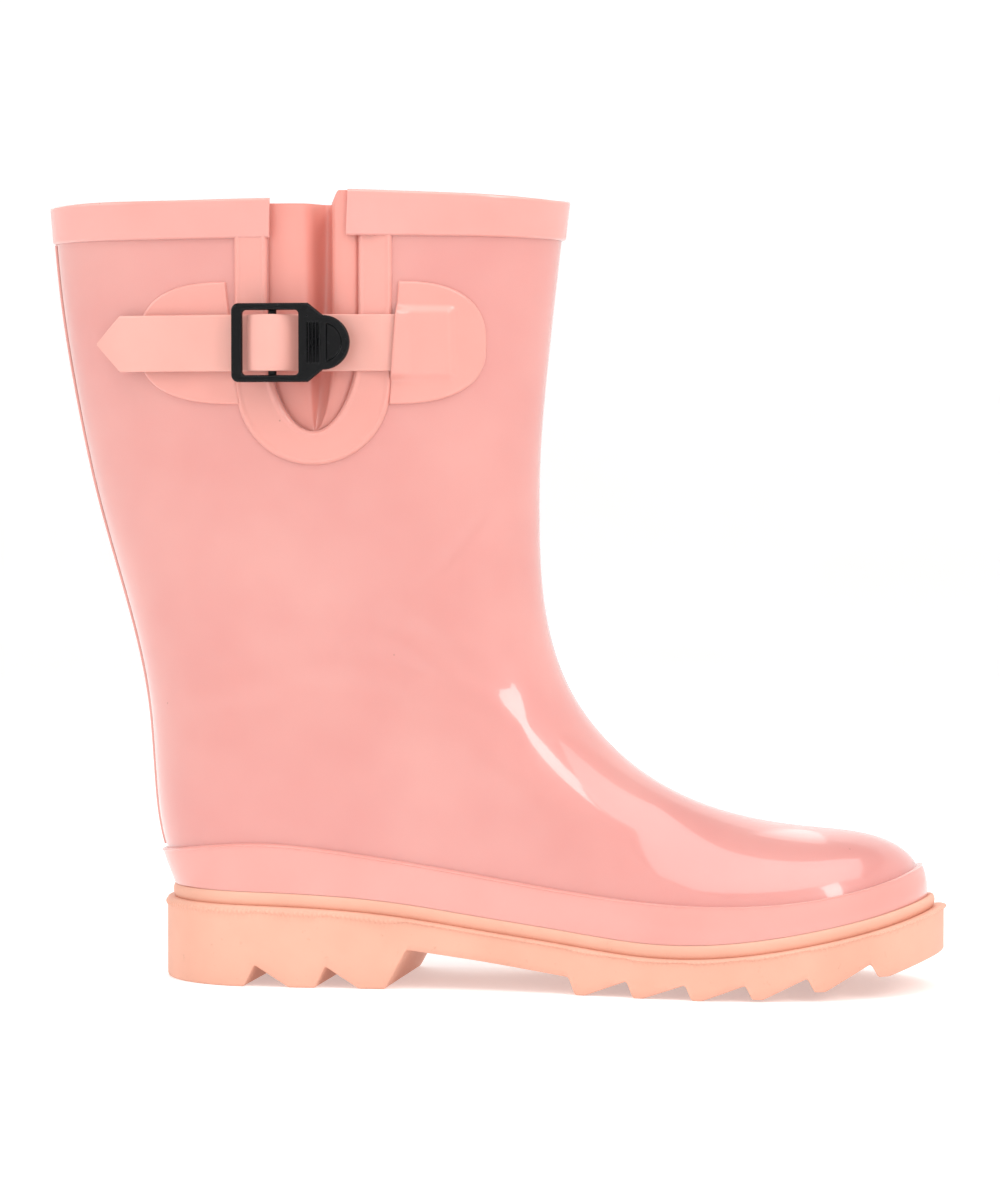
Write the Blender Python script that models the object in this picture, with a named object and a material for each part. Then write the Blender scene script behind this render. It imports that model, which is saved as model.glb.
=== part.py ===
"""Right-foot rubber rain boot with a side gusset, a strap and a plastic buckle.

Frame: +X towards the toe, +Z up, -Y the outer side with the buckle. The origin is on the ground
under the heel block. Lengths are metres; MM turns millimetres into metres.
"""

import math

import bmesh
import bpy
import numpy as np

MM = 0.001

# Overall sizes
SOLE_LENGTH = 281.4 * MM
RIM_HEIGHT = 279.0 * MM
ANKLE_HEIGHT = 120.0 * MM
HEEL_REACH = 22.3 * MM  # from the origin back to the sole's rear edge

# Half-widths of the shell, and how far its ends are rounded
SHAFT_HALF_WIDTH = 36.0 * MM
ANKLE_HALF_WIDTH = 31.5 * MM
HEEL_HALF_WIDTH = 30.5 * MM
WAIST_HALF_WIDTH = 28.0 * MM
BALL_HALF_WIDTH = 44.0 * MM
TOE_HALF_WIDTH = 27.0 * MM
SHAFT_FRONT_ROUND = 64.0 * MM
ANKLE_FRONT_ROUND = 46.0 * MM
SHAFT_BACK_ROUND = 70.0 * MM
HEEL_BACK_ROUND = 33.0 * MM
TOE_ROUND = 46.0 * MM

# Walls and clearances
GAP = 0.3 * MM
FACET_GAP = 0.95 * MM  # where two pieces that lie on each other have facets of different sizes
SHELL_WALL = 2.0 * MM
LINING_WALL = 1.2 * MM
STIFFENER_WALL = 1.0 * MM
GUSSET_WALL = 1.2 * MM
TRIM_WALL = 1.0 * MM
PATCH_WALL = 1.4 * MM
CUFF_WALL = 1.4 * MM
STAY_WALL = 0.8 * MM
FOXING_WALL = 2.2 * MM
STRAP_WALL = 1.2 * MM
LOOP_WALL = 0.9 * MM

# Cuff, stay and foxing
CUFF_HEIGHT = 13.5 * MM
STAY_HALF_WIDTH = 5.5 * MM

# Slit and gusset
SLIT_CENTRE = 39.3 * MM
SLIT_HALF_WIDTH = 16.4 * MM
SLIT_DEPTH = 81.4 * MM
SLIT_TAPER = 34.0 * MM
TRIM_WIDTH = 12.0 * MM
GUSSET_FLANGE = 8.0 * MM
GUSSET_FOLD = 20.0 * MM
GUSSET_VALLEY = 0.6  # place of the fold across the slit, 0 rear to 1 front

# Strap, patches and buckle
STRAP_BELOW_RIM = 50.4 * MM
STRAP_HEIGHT = 20.0 * MM
STRAP_TONGUE = 18.0 * MM  # reach of the strap's end under the front patch
TAIL_REACH = 56.0 * MM
TAIL_POINT = 10.0 * MM
TAIL_TRAVEL = 6.0 * MM
PATCH_HEIGHT = 43.4 * MM
REAR_PATCH_LENGTH = 36.0 * MM
ANCHOR_GRIP = 1.55 * MM  # reach of the anchor loop over the rear patch's straight edge
FRONT_PATCH_LENGTH = 31.5 * MM
FRAME_THICKNESS = 2.6 * MM
BAR_WIDTH = 3.9 * MM
RAIL_HEIGHT = 2.5 * MM
WINDOW_LENGTH = 20.3 * MM
TAB_LENGTH = 14.4 * MM
BAR_RADIUS = 1.5 * MM
BAR_STAND_OFF = 6.0 * MM  # from the flank to the middle bar's axis
BAR_SINK = 2.9 * MM  # from the frame's mid-plane down to the bar's axis

# Sole
WELT_HEIGHT = 4.8 * MM
WELT_INSET = 2.2 * MM
SOLE_MARGIN = 5.0 * MM  # from the shell's outline to the sole's
TOE_MARGIN = 7.4 * MM  # the same at the toe's tip
BOARD_WALL = 2.0 * MM
FOOTBED_WALL = 4.0 * MM
BOARD_INSET = 7.4 * MM
SHANK_WALL = 1.0 * MM
SHANK_HALF_WIDTH = 9.0 * MM
HEEL_NOTCH = 7.7 * MM
LUG_COUNT = 6
TOE_SPRING = 14.0 * MM

FLANK = -1.0
INNER = 1.0


# ---------- lines of the last ----------

def smooth_line(points, count=1500):
    """Natural cubic curve through points, spaced evenly along their chords."""
    knots = np.array(points, dtype=float)
    chord = np.r_[0.0, np.cumsum(np.hypot(*np.diff(knots, axis=0).T))]
    step = np.diff(chord)
    size = len(knots)
    system = np.eye(size)
    right = np.zeros_like(knots)
    for i in range(1, size - 1):
        system[i, i - 1:i + 2] = step[i - 1], 2 * (step[i - 1] + step[i]), step[i]
        right[i] = 6 * ((knots[i + 1] - knots[i]) / step[i] - (knots[i] - knots[i - 1]) / step[i - 1])
    bend = np.linalg.solve(system, right)
    at = np.linspace(0.0, chord[-1], count)
    i = np.clip(np.searchsorted(chord, at) - 1, 0, size - 2)
    h = step[i][:, None]
    a = (chord[i + 1] - at)[:, None]
    b = (at - chord[i])[:, None]
    return ((bend[i] * a ** 3 + bend[i + 1] * b ** 3) / (6 * h)
            + (knots[i] / h - bend[i] * h / 6) * a
            + (knots[i + 1] / h - bend[i + 1] * h / 6) * b)


def along(percent):
    """X of a place given in percent of the sole's length ahead of the origin."""
    return percent * SOLE_LENGTH / 100


def up_shaft(share):
    """Height of a place on the shaft, 0 at the ankle and 1 at the rim."""
    return ANKLE_HEIGHT + share * (RIM_HEIGHT - ANKLE_HEIGHT)


def placed_line(shaft, foot):
    """Joins shaft points (percent of length, share of shaft) and foot points (percent, mm up)."""
    upper = [(along(p), up_shaft(s)) for p, s in shaft]
    lower = [(along(p), h * MM) for p, h in foot]
    return smooth_line(upper + lower)


SHAFT_FRONT = [(44.0, 1.0), (42.6, 0.786), (41.5, 0.604), (40.7, 0.42), (40.6, 0.28), (40.95, 0.14)]
VAMP_TOP = [(42.6, 118), (45.3, 101), (49.2, 87), (55.3, 73), (65.5, 61), (77.7, 56.2), (89.3, 55.9)]
SHAFT_BACK = [(-23.0, 1.0), (-21.9, 0.79), (-20.2, 0.6), (-16.9, 0.33), (-12.5, 0.057)]
HEEL_BACK = [(-10.3, 100), (-9.4, 70), (-8.7, 54), (-7.6, 43), (-6.15, 33)]
LEDGE = [(-8.0, 29.0), (7.0, 28.6), (23.8, 25.7), (33.7, 21.8), (45.8, 17.3), (56.0, 14.2),
         (70.0, 15.9), (79.6, 20.5), (88.8, 26.8), (92.1, 29.8)]
FOXING_TOP = [(-8.0, 46.6), (6.4, 50.9), (17.0, 48.4), (35.2, 40.7), (50.1, 34.7), (66.8, 32.3),
              (74.6, 33.7), (85.0, 39.5), (89.5, 44.5), (92.1, 49.5)]

FRONT_LINE = placed_line(SHAFT_FRONT, VAMP_TOP)
BACK_LINE = placed_line(SHAFT_BACK, HEEL_BACK)
LEDGE_LINE = placed_line([], LEDGE)
FOXING_LINE = placed_line([], FOXING_TOP)
TOE_TIP = SOLE_LENGTH - HEEL_REACH - TOE_MARGIN
STRAP_Z = RIM_HEIGHT - STRAP_BELOW_RIM
CUFF_Z = RIM_HEIGHT - CUFF_HEIGHT


def read_line(line, x):
    return np.interp(x, line[:, 0], line[:, 1])


def front_x(z):
    """The shell's front line; below the vamp it runs on forward to the toe."""
    return np.interp(z, FRONT_LINE[::-1, 1], FRONT_LINE[::-1, 0])


def back_x(z):
    return np.interp(z, BACK_LINE[::-1, 1], BACK_LINE[::-1, 0])


def vamp_z(x):
    """Top line of the foot, from the front of the ankle to over the toe."""
    foremost = int(np.argmin(FRONT_LINE[:, 0]))
    return np.interp(x, FRONT_LINE[foremost:, 0], FRONT_LINE[foremost:, 1])


def bed_z(x):
    """Top of the outsole, where the shell stands."""
    return read_line(LEDGE_LINE, x) + WELT_HEIGHT


def ramp(value, start, end):
    """0 before start, 1 after end, and smooth between them."""
    share = np.clip((value - start) / (end - start), 0.0, 1.0)
    return share * share * (3 - 2 * share)


# ---------- the shell's surface ----------

WIDTHS = [(-9, HEEL_HALF_WIDTH), (8, HEEL_HALF_WIDTH), (30, WAIST_HALF_WIDTH),
          (50, 0.55 * WAIST_HALF_WIDTH + 0.45 * BALL_HALF_WIDTH), (64, BALL_HALF_WIDTH),
          (75, 0.97 * BALL_HALF_WIDTH), (92, TOE_HALF_WIDTH)]
SHIFTS = [(-9, 0.0), (30, -2.5), (55, 0.0), (75, 3.0), (92, 6.0)]
WIDTH_LINE = smooth_line([(along(p), w) for p, w in WIDTHS])
SHIFT_LINE = smooth_line([(along(p), s * MM) for p, s in SHIFTS])
TOE_POWER = 3.5
HEEL_SHARE = 0.58  # the rib at this share of the front line ends at the heel's bottom corner
DOME_POWER = 2.5
SHAFT_RIBS = 22  # shell ribs from the rim to the heel's bottom corner
FOOT_RIBS = 28  # shell ribs from there to the toe; with fewer, flat facets cut into the heel counter


def middle_y(x, z):
    """Side shift of the foot's middle line, which fades out up the ankle."""
    return read_line(SHIFT_LINE, x) * (1 - ramp(z, 55 * MM, ANKLE_HEIGHT))


def half_width(x, z):
    """Half-width before the front, back and toe are rounded off."""
    widening = ramp(z, up_shaft(-0.1), up_shaft(0.45))
    shaft = ANKLE_HALF_WIDTH + (SHAFT_HALF_WIDTH - ANKLE_HALF_WIDTH) * widening
    foot = read_line(WIDTH_LINE, x)
    return foot + (shaft - foot) * ramp(z - bed_z(x), 8 * MM, 75 * MM)


def toe_share(x):
    return np.clip(1 - (TOE_TIP - x) / TOE_ROUND, 0.0, None) ** TOE_POWER


def squared_width(x, z):
    """Square of the half-width: oval across the shaft, domed over the foot, round at the toe."""
    rise = ramp(z, up_shaft(-0.1), up_shaft(0.5))
    front_round = ANKLE_FRONT_ROUND + (SHAFT_FRONT_ROUND - ANKLE_FRONT_ROUND) * rise
    across = np.clip(1 - (front_x(z) - x) / front_round, 0.0, None)
    over = np.clip((z - bed_z(x)) / (vamp_z(x) - bed_z(x)), 0.0, None)
    on_foot = ramp(x, along(36), along(60)) * ramp(-z, -up_shaft(0.2), -up_shaft(-0.25))
    front = across ** 2 + (over ** DOME_POWER - across ** 2) * on_foot
    back_round = HEEL_BACK_ROUND + (SHAFT_BACK_ROUND - HEEL_BACK_ROUND) * ramp(z, 60 * MM, up_shaft(0.6))
    back = np.clip(1 - (x - back_x(z)) / back_round, 0.0, None) ** 2
    return half_width(x, z) ** 2 * (1 - front - toe_share(x)) * (1 - back)


def skin(x, z, side, offset=0.0):
    """Points of the shell's outer surface at x and z, moved out along its normal by offset."""
    x, z, side, offset = np.broadcast_arrays(np.asarray(x, float), z, side, offset)
    y = middle_y(x, z) + side * np.sqrt(np.clip(squared_width(x, z), 0.0, None))
    step = 0.3 * MM

    def level(px, pz):
        return (y - middle_y(px, pz)) ** 2 - squared_width(px, pz)

    slope = np.stack([level(x + step, z) - level(x - step, z),
                      4 * step * (y - middle_y(x, z)),
                      level(x, z + step) - level(x, z - step)], axis=-1)
    slope /= np.linalg.norm(slope, axis=-1, keepdims=True)
    return np.stack([x, y, z], axis=-1) + slope * offset[..., None]


def standing(points):
    """Lifts points that would sink into the sole to stand a clearance above it."""
    points[..., 2] = np.maximum(points[..., 2], bed_z(points[..., 0]) + GAP)
    return points


def toe_top(x):
    """Top line of the shell with the toe's rounding."""
    share = np.clip(1 - toe_share(x), 0.0, 1.0) ** (1 / DOME_POWER)
    return bed_z(x) + (vamp_z(x) - bed_z(x)) * share


def evenly(line, count):
    """Resamples a line at even steps along its length."""
    length = np.r_[0.0, np.cumsum(np.hypot(*np.diff(line, axis=0).T))]
    at = np.linspace(0.0, length[-1], count)
    return np.stack([np.interp(at, length, line[:, 0]), np.interp(at, length, line[:, 1])], axis=-1)


def rib_ends(shares):
    """Two ends of each rib: on the front and top line, and on the back line or the bed."""
    toe_x = TOE_TIP - TOE_ROUND * (1 - np.linspace(0.0, 1.0, 300)[1:]) ** 2
    body = FRONT_LINE[FRONT_LINE[:, 0] < toe_x[0]]
    front = evenly(np.vstack([body, np.stack([toe_x, toe_top(toe_x)], axis=-1)]), 1200)
    bed = np.linspace(BACK_LINE[-1, 0], TOE_TIP, 400)
    heel = evenly(BACK_LINE[BACK_LINE[:, 1] > bed_z(bed[0])], 1200)
    bed = np.stack([bed, bed_z(bed)], axis=-1)
    ends = []
    on_heel, on_bed = shares / HEEL_SHARE, (shares - HEEL_SHARE) / (1 - HEEL_SHARE)
    for line, at in ((front, shares), (heel, on_heel), (bed, on_bed)):
        places = np.linspace(0.0, 1.0, len(line))
        ends.append(np.stack([np.interp(at, places, line[:, k]) for k in (0, 1)], axis=-1))
    back = np.where((shares <= HEEL_SHARE)[:, None], ends[1], ends[2])
    return ends[0], back


def rib_shares(start, upper, lower):
    """Shares for the ribs: one exactly on the heel's bottom corner, and closer at heel and toe."""
    foot = (1 - np.cos(np.linspace(0.0, math.pi, lower))) / 2
    return np.r_[np.linspace(start, HEEL_SHARE, upper), HEEL_SHARE + (1 - HEEL_SHARE) * foot[1:]]


def shell_grid(shares, across, offset=0.0, reach=1.0):
    """Grid of skin points: a rib for each share, from the outer side over the front to the inner."""
    front, back = rib_ends(np.asarray(shares))
    turn = np.linspace(-1.0, 1.0, 2 * across + 1)
    part = (1 - np.cos(np.abs(turn) * math.pi * reach)) / 2
    point = front[:, None] + (back - front)[:, None] * part[None, :, None]
    side = np.where(turn < 0, FLANK, INNER)
    depth = offset(point[..., 0], point[..., 1]) if callable(offset) else offset
    grid = standing(skin(point[..., 0], point[..., 1], side, depth))
    closed = (np.asarray(shares) <= HEEL_SHARE) & (reach == 1.0)
    grid[closed, 0] = grid[closed, -1] = (grid[closed, 0] + grid[closed, -1]) / 2
    return grid


# ---------- mesh helpers ----------

def paint(name, colour, roughness, metallic=0.0):
    material = bpy.data.materials.new(name)
    material.use_nodes = True
    shader = material.node_tree.nodes["Principled BSDF"]
    shader.inputs["Base Color"].default_value = (*colour, 1.0)
    shader.inputs["Roughness"].default_value = roughness
    shader.inputs["Metallic"].default_value = metallic
    return material


def add_object(name, vertices, faces, material, origin=(0.0, 0.0, 0.0)):
    """Makes an object from world points; its own origin is put at origin."""
    mesh = bpy.data.meshes.new(name)
    local = np.asarray(vertices, float) - np.asarray(origin)
    mesh.from_pydata(local.tolist(), [], faces)
    work = bmesh.new()
    work.from_mesh(mesh)
    bmesh.ops.recalc_face_normals(work, faces=work.faces)
    work.to_mesh(mesh)
    work.free()
    mesh.shade_smooth()
    mesh.set_sharp_from_angle(angle=math.radians(40))
    mesh.materials.append(material)
    obj = bpy.data.objects.new(name, mesh)
    obj.location = origin
    bpy.context.scene.collection.objects.link(obj)
    return obj


def weld(vertices, faces):
    """Merges points that coincide, and drops collapsed faces and pairs of walls that meet."""
    keys = np.round(vertices / 2e-7).astype(np.int64)
    _, first, index = np.unique(keys, axis=0, return_index=True, return_inverse=True)
    index = index.ravel()
    kept, seen = [], {}
    for face in faces:
        ring = [int(index[v]) for v in face]
        ring = [v for i, v in enumerate(ring) if v != ring[i - 1]]
        if len(ring) < 3 or len(set(ring)) < len(ring):
            continue
        key = frozenset(ring)
        seen[key] = seen.get(key, 0) + 1
        kept.append((key, ring))
    return vertices[first], [ring for key, ring in kept if seen[key] == 1]


def sheet(name, outer, inner, material, origin=(0.0, 0.0, 0.0), wrap=False):
    """Closed solid between two grids of points with the same rows and columns."""
    rows, columns = outer.shape[:2]
    span = columns if wrap else columns - 1
    half = rows * columns

    def corner(r, c):
        return r * columns + c % columns

    faces = []
    for r in range(rows - 1):
        for c in range(span):
            quad = [corner(r, c), corner(r + 1, c), corner(r + 1, c + 1), corner(r, c + 1)]
            faces.append(quad)
            faces.append([v + half for v in reversed(quad)])
    edges = [(corner(r, c), corner(r, c + 1)) for r in (0, rows - 1) for c in range(span)]
    if not wrap:
        edges += [(corner(r, c), corner(r + 1, c)) for c in (0, columns - 1) for r in range(rows - 1)]
    faces += [[a, b, b + half, a + half] for a, b in edges]
    points = np.vstack([outer.reshape(-1, 3), inner.reshape(-1, 3)])
    vertices, faces = weld(points, faces)
    return add_object(name, vertices, faces, material, origin)


def prism(name, outline, low, high, axis, material=None, origin=(0.0, 0.0, 0.0)):
    """Extrudes an outline along Y (outline in X and Z) or along Z (outline in X and Y)."""
    flat = np.asarray(outline, float)
    ends = []
    for level in (low, high):
        points = np.insert(flat, 1 if axis == "Y" else 2, level, axis=1)
        ends.append(points)
    count = len(flat)
    faces = [list(range(count)), list(range(2 * count - 1, count - 1, -1))]
    faces += [[i, (i + 1) % count, (i + 1) % count + count, i + count] for i in range(count)]
    return add_object(name, np.vstack(ends), faces, material, origin)


def as_tool(obj):
    """Marks a guide that only shapes other pieces."""
    obj.hide_render = True
    obj.display_type = "WIRE"
    return obj


def boolean(obj, tool, operation):
    modifier = obj.modifiers.new(operation.title(), "BOOLEAN")
    modifier.operation = operation
    modifier.object = as_tool(tool)
    modifier.solver = "EXACT"


# ---------- shell, lining and stiffeners ----------

def slit_half(z, half, depth, taper, power, root):
    """Half-width of a U at height z: straight legs above its round or tapering foot."""
    below = np.clip((RIM_HEIGHT - depth + taper - z) / taper, 0.0, 1.0)
    return half * (1 - below ** power) ** root


def foot_shape(margin):
    """Exponents of a U's foot: tapering at the slit itself, rounder further out."""
    return (1.5, 0.6) if margin < TRIM_WIDTH / 2 else (2.5, 0.5)


def slit_outline(margin, count=13):
    """Closed outline of the slit's opening, widened by margin, in X and Z."""
    foot = RIM_HEIGHT - SLIT_DEPTH - margin
    rise = (1 - np.cos(np.linspace(0.0, math.pi / 2, count))) * (SLIT_TAPER + margin)
    z = foot + rise
    reach, depth, taper = SLIT_HALF_WIDTH + margin, SLIT_DEPTH + margin, SLIT_TAPER + margin
    half = slit_half(z, reach, depth, taper, *foot_shape(margin))
    right = [(SLIT_CENTRE + w, h) for w, h in zip(half, z)]
    left = [(SLIT_CENTRE - w, h) for w, h in zip(half, z)]
    top = RIM_HEIGHT + 20 * MM
    return left[:0:-1] + right + [(SLIT_CENTRE + reach, top), (SLIT_CENTRE - reach, top)]


def slit_tool(name, margin, inward):
    return prism(name, slit_outline(margin), -SHAFT_HALF_WIDTH - 10 * MM, -SHAFT_HALF_WIDTH + inward, "Y")


def upper_shell(material):
    shares = rib_shares(0.0, SHAFT_RIBS, FOOT_RIBS)
    obj = sheet("upper_shell", shell_grid(shares, 16), shell_grid(shares, 16, -SHELL_WALL), material)
    boolean(obj, slit_tool("slit_tool", 0.0, 12 * MM), "DIFFERENCE")
    return obj


COUNTER_END = along(17)
COUNTER_TOP = 78 * MM
STIFFENER_EDGE = 14 * MM  # the lining is already drawn in this far before a stiffener ends
PUFF_START = 0.9  # share of the front line where the toe puff starts


def lining_depth(x, z):
    """How far the lining's outer face lies inside the shell: more where a stiffener is between."""
    heel = ramp(-x, -COUNTER_END - 10 * MM, -COUNTER_END) * ramp(-z, -COUNTER_TOP - 10 * MM, -COUNTER_TOP)
    toe = ramp(x, along(57), along(63)) * ramp(-z, -80 * MM, -70 * MM)
    return -(SHELL_WALL + FACET_GAP) - (STIFFENER_WALL + FACET_GAP) * np.maximum(heel, toe)


def lining(material):
    shares = rib_shares(0.008, SHAFT_RIBS, 18)
    outer = shell_grid(shares, 14, lining_depth)
    inner = shell_grid(shares, 14, lambda x, z: lining_depth(x, z) - LINING_WALL)
    obj = sheet("lining", outer, inner, material)
    boolean(obj, slit_tool("lining_slit_tool", GUSSET_FLANGE + 4.0 * MM, 12 * MM), "DIFFERENCE")
    return obj


def heel_counter(material):
    turn = np.linspace(-1.0, 1.0, 25)
    z = np.linspace(bed_z(0.0) + 1.0 * MM, COUNTER_TOP - STIFFENER_EDGE, 6)[:, None]
    reach = COUNTER_END - STIFFENER_EDGE - back_x(z)
    x = back_x(z) + reach * turn[None, :] ** 2
    side = np.where(turn < 0, FLANK, INNER)
    outer = skin(x, z, side, -(SHELL_WALL + FACET_GAP))
    inner = skin(x, z, side, -(SHELL_WALL + FACET_GAP + STIFFENER_WALL))
    return sheet("heel_counter", outer, inner, material)


def toe_puff(material):
    shares = np.linspace(PUFF_START, 0.985, 6)
    depth = SHELL_WALL + FACET_GAP
    outer = shell_grid(shares, 8, -depth, reach=0.93)
    inner = shell_grid(shares, 8, -depth - STIFFENER_WALL, reach=0.93)
    return sheet("toe_puff", outer, inner, material)


# ---------- bands and trims on the outside ----------

def ring_place(turn, z):
    """X and side at a turn round the shaft: 0 is the front, pi the back, and below 0 the outer side."""
    front, back = front_x(z), back_x(z)
    return front - (front - back) * (1 - np.cos(turn)) / 2, np.where(np.sin(turn) < 0, FLANK, INNER)


def ring_turn(x, z):
    front, back = float(front_x(z)), float(back_x(z))
    return math.acos(1 - 2 * (front - x) / (front - back))


def cuff_band(material):
    edges = [ring_turn(SLIT_CENTRE + s * SLIT_HALF_WIDTH, RIM_HEIGHT) for s in (1, -1)]
    turn = np.linspace(-edges[0], 2 * math.pi - edges[1], 45)[None, :]
    z = np.array([RIM_HEIGHT, CUFF_Z + 1.0 * MM, CUFF_Z])[:, None]
    x, side = ring_place(turn, z)
    wall = np.array([CUFF_WALL, CUFF_WALL, 0.6 * CUFF_WALL])[:, None]
    return sheet("cuff_band", skin(x, z, side, GAP + wall), skin(x, z, side, GAP), material)


def foxing_ring(count, rows, offset):
    """Grid round the foot, between the welt and the foxing's top edge."""
    turn = np.linspace(0.0, 2 * math.pi, count, endpoint=False)[None, :]
    heel, toe = BACK_LINE[-1, 0] - 4 * MM, TOE_TIP
    nominal = heel + (toe - heel) * (1 - np.cos(turn)) / 2
    low = bed_z(nominal) + GAP
    z = low + (read_line(FOXING_LINE, nominal) - low) * np.linspace(0.0, 1.0, rows)[:, None]
    rise = np.clip((z - bed_z(TOE_TIP)) / (vamp_z(TOE_TIP) - bed_z(TOE_TIP)), 0.0, 0.98)
    front = TOE_TIP - TOE_ROUND * (1 - (1 - rise ** DOME_POWER) ** (1 / TOE_POWER))
    back = back_x(z)
    x = back + (front - back) * (1 - np.cos(turn)) / 2
    top = toe_top(x)
    side = np.where(np.sin(turn) < 0, FLANK, INNER)
    return standing(skin(x, np.minimum(z, top), side, offset))


def foxing(material):
    inner = foxing_ring(64, 4, FACET_GAP)
    return sheet("foxing", foxing_ring(64, 4, FACET_GAP + FOXING_WALL), inner, material, wrap=True)


def back_stay(material):
    low = float(read_line(FOXING_LINE, back_x(50 * MM))) + 1.0 * MM
    z = np.linspace(CUFF_Z - 2 * GAP, low, 30)[:, None]
    y = np.linspace(-STAY_HALF_WIDTH, STAY_HALF_WIDTH, 5)[None, :]
    back_round = HEEL_BACK_ROUND + (SHAFT_BACK_ROUND - HEEL_BACK_ROUND) * ramp(z, 60 * MM, up_shaft(0.6))
    x = back_x(z) + back_round * (1 - np.sqrt(1 - (y / half_width(back_x(z), z)) ** 2))
    side = np.where(y < 0, FLANK, INNER)
    return sheet("back_stay", skin(x, z, side, GAP + STAY_WALL), skin(x, z, side, GAP), material)


def trim_path(z_top, count, margin):
    """X and Z down one leg of a U, round its foot and up the other leg."""
    foot = RIM_HEIGHT - SLIT_DEPTH - margin
    half = SLIT_HALF_WIDTH + margin
    share = np.linspace(0.0, 1.0, count)
    legs = foot + (z_top - foot) * (1 - share) ** 2
    w = slit_half(legs, half, SLIT_DEPTH + margin, SLIT_TAPER, *foot_shape(margin))
    x = np.r_[SLIT_CENTRE - w, SLIT_CENTRE + w[-2::-1]]
    z = np.r_[legs, legs[-2::-1]]
    return x, z


def gusset_trim(material):
    top = CUFF_Z - 2 * GAP
    paths = [trim_path(top, 14, margin) for margin in (0.4 * MM, TRIM_WIDTH)]
    blend = np.array([0.0, 0.1, 0.9, 1.0])[:, None]
    x = paths[0][0] + (paths[1][0] - paths[0][0]) * blend
    z = paths[0][1] + (paths[1][1] - paths[0][1]) * blend
    wall = np.array([0.6, 1.0, 1.0, 0.6])[:, None] * TRIM_WALL
    return sheet("gusset_trim", skin(x, z, FLANK, GAP + wall), skin(x, z, FLANK, GAP), material)


def gusset(material):
    """Panel whose middle folds into the shaft, with flanges behind the slit's edges."""
    foot = RIM_HEIGHT - SLIT_DEPTH - 0.7 * GUSSET_FLANGE
    z = np.linspace(RIM_HEIGHT - 1.5 * MM, foot, 16)[:, None]
    half = slit_half(z, SLIT_HALF_WIDTH, SLIT_DEPTH, SLIT_TAPER, 1.5, 0.6)
    across = np.array([-1.0, 0.0, 0.15, 0.35, 0.52, GUSSET_VALLEY, 0.7, 0.85, 1.0, 2.0])
    inside = np.clip(across, 0.0, 1.0)[None, :]
    flange = (across - inside) * GUSSET_FLANGE
    x = SLIT_CENTRE + half * (2 * inside - 1) + flange
    fold = np.minimum(inside / GUSSET_VALLEY, (1 - inside) / (1 - GUSSET_VALLEY))
    depth = GUSSET_FOLD * np.clip((z - (RIM_HEIGHT - SLIT_DEPTH)) / SLIT_DEPTH, 0.0, 1.0) ** 0.6
    inward = depth * fold * (3 - fold) / 2
    base = skin(x, z, FLANK, -(SHELL_WALL + FACET_GAP))
    outer = base + np.stack([0 * inward, inward, 0 * inward], axis=-1)
    inner = outer + np.array([0.0, GUSSET_WALL, 0.0])
    return sheet("gusset", outer, inner, material)


# ---------- patches and strap ----------

# Heights off the flank, each built on the layer below it
TRIM_TOP = GAP + TRIM_WALL
STRAP_OVER_TRIM = TRIM_TOP + GAP
LEG_OFF = GAP + PATCH_WALL + GAP
TAIL_OFF = LEG_OFF + LOOP_WALL + GAP
TRIM_EDGE = SLIT_CENTRE + SLIT_HALF_WIDTH + TRIM_WIDTH + 0.4 * MM
REAR_EDGE = SLIT_CENTRE - SLIT_HALF_WIDTH - TRIM_WIDTH - 0.4 * MM
STRAP_DROP = 5.0 * MM  # over this length the strap comes down off the trim
BAR_X = SLIT_CENTRE - 13.3 * MM
BAR_Y = -SHAFT_HALF_WIDTH - BAR_STAND_OFF
LOOP_INNER = BAR_RADIUS + GAP
LOOP_OUTER = LOOP_INNER + LOOP_WALL
FRAME_LEFT = BAR_X - WINDOW_LENGTH / 2 - BAR_WIDTH
FRAME_RIGHT = BAR_X + WINDOW_LENGTH / 2 + BAR_WIDTH


def strap_rise(x, z):
    """How far the strap's end lifts the front patch off the shell."""
    end = TRIM_EDGE + STRAP_TONGUE
    side = np.clip((STRAP_HEIGHT / 2 + 1.8 * MM - np.abs(z - STRAP_Z)) / (1.2 * MM), 0.0, 1.0)
    ahead = np.clip((end + 2.0 * MM - x) / (1.4 * MM), 0.0, 1.0)
    step = np.clip((TRIM_EDGE + STRAP_DROP + 1.5 * MM - x) / (STRAP_DROP + 1.5 * MM), 0.0, 1.0)
    return side * ahead * (GAP + STRAP_WALL + step * (TRIM_TOP + 0.6 * MM))


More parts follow.
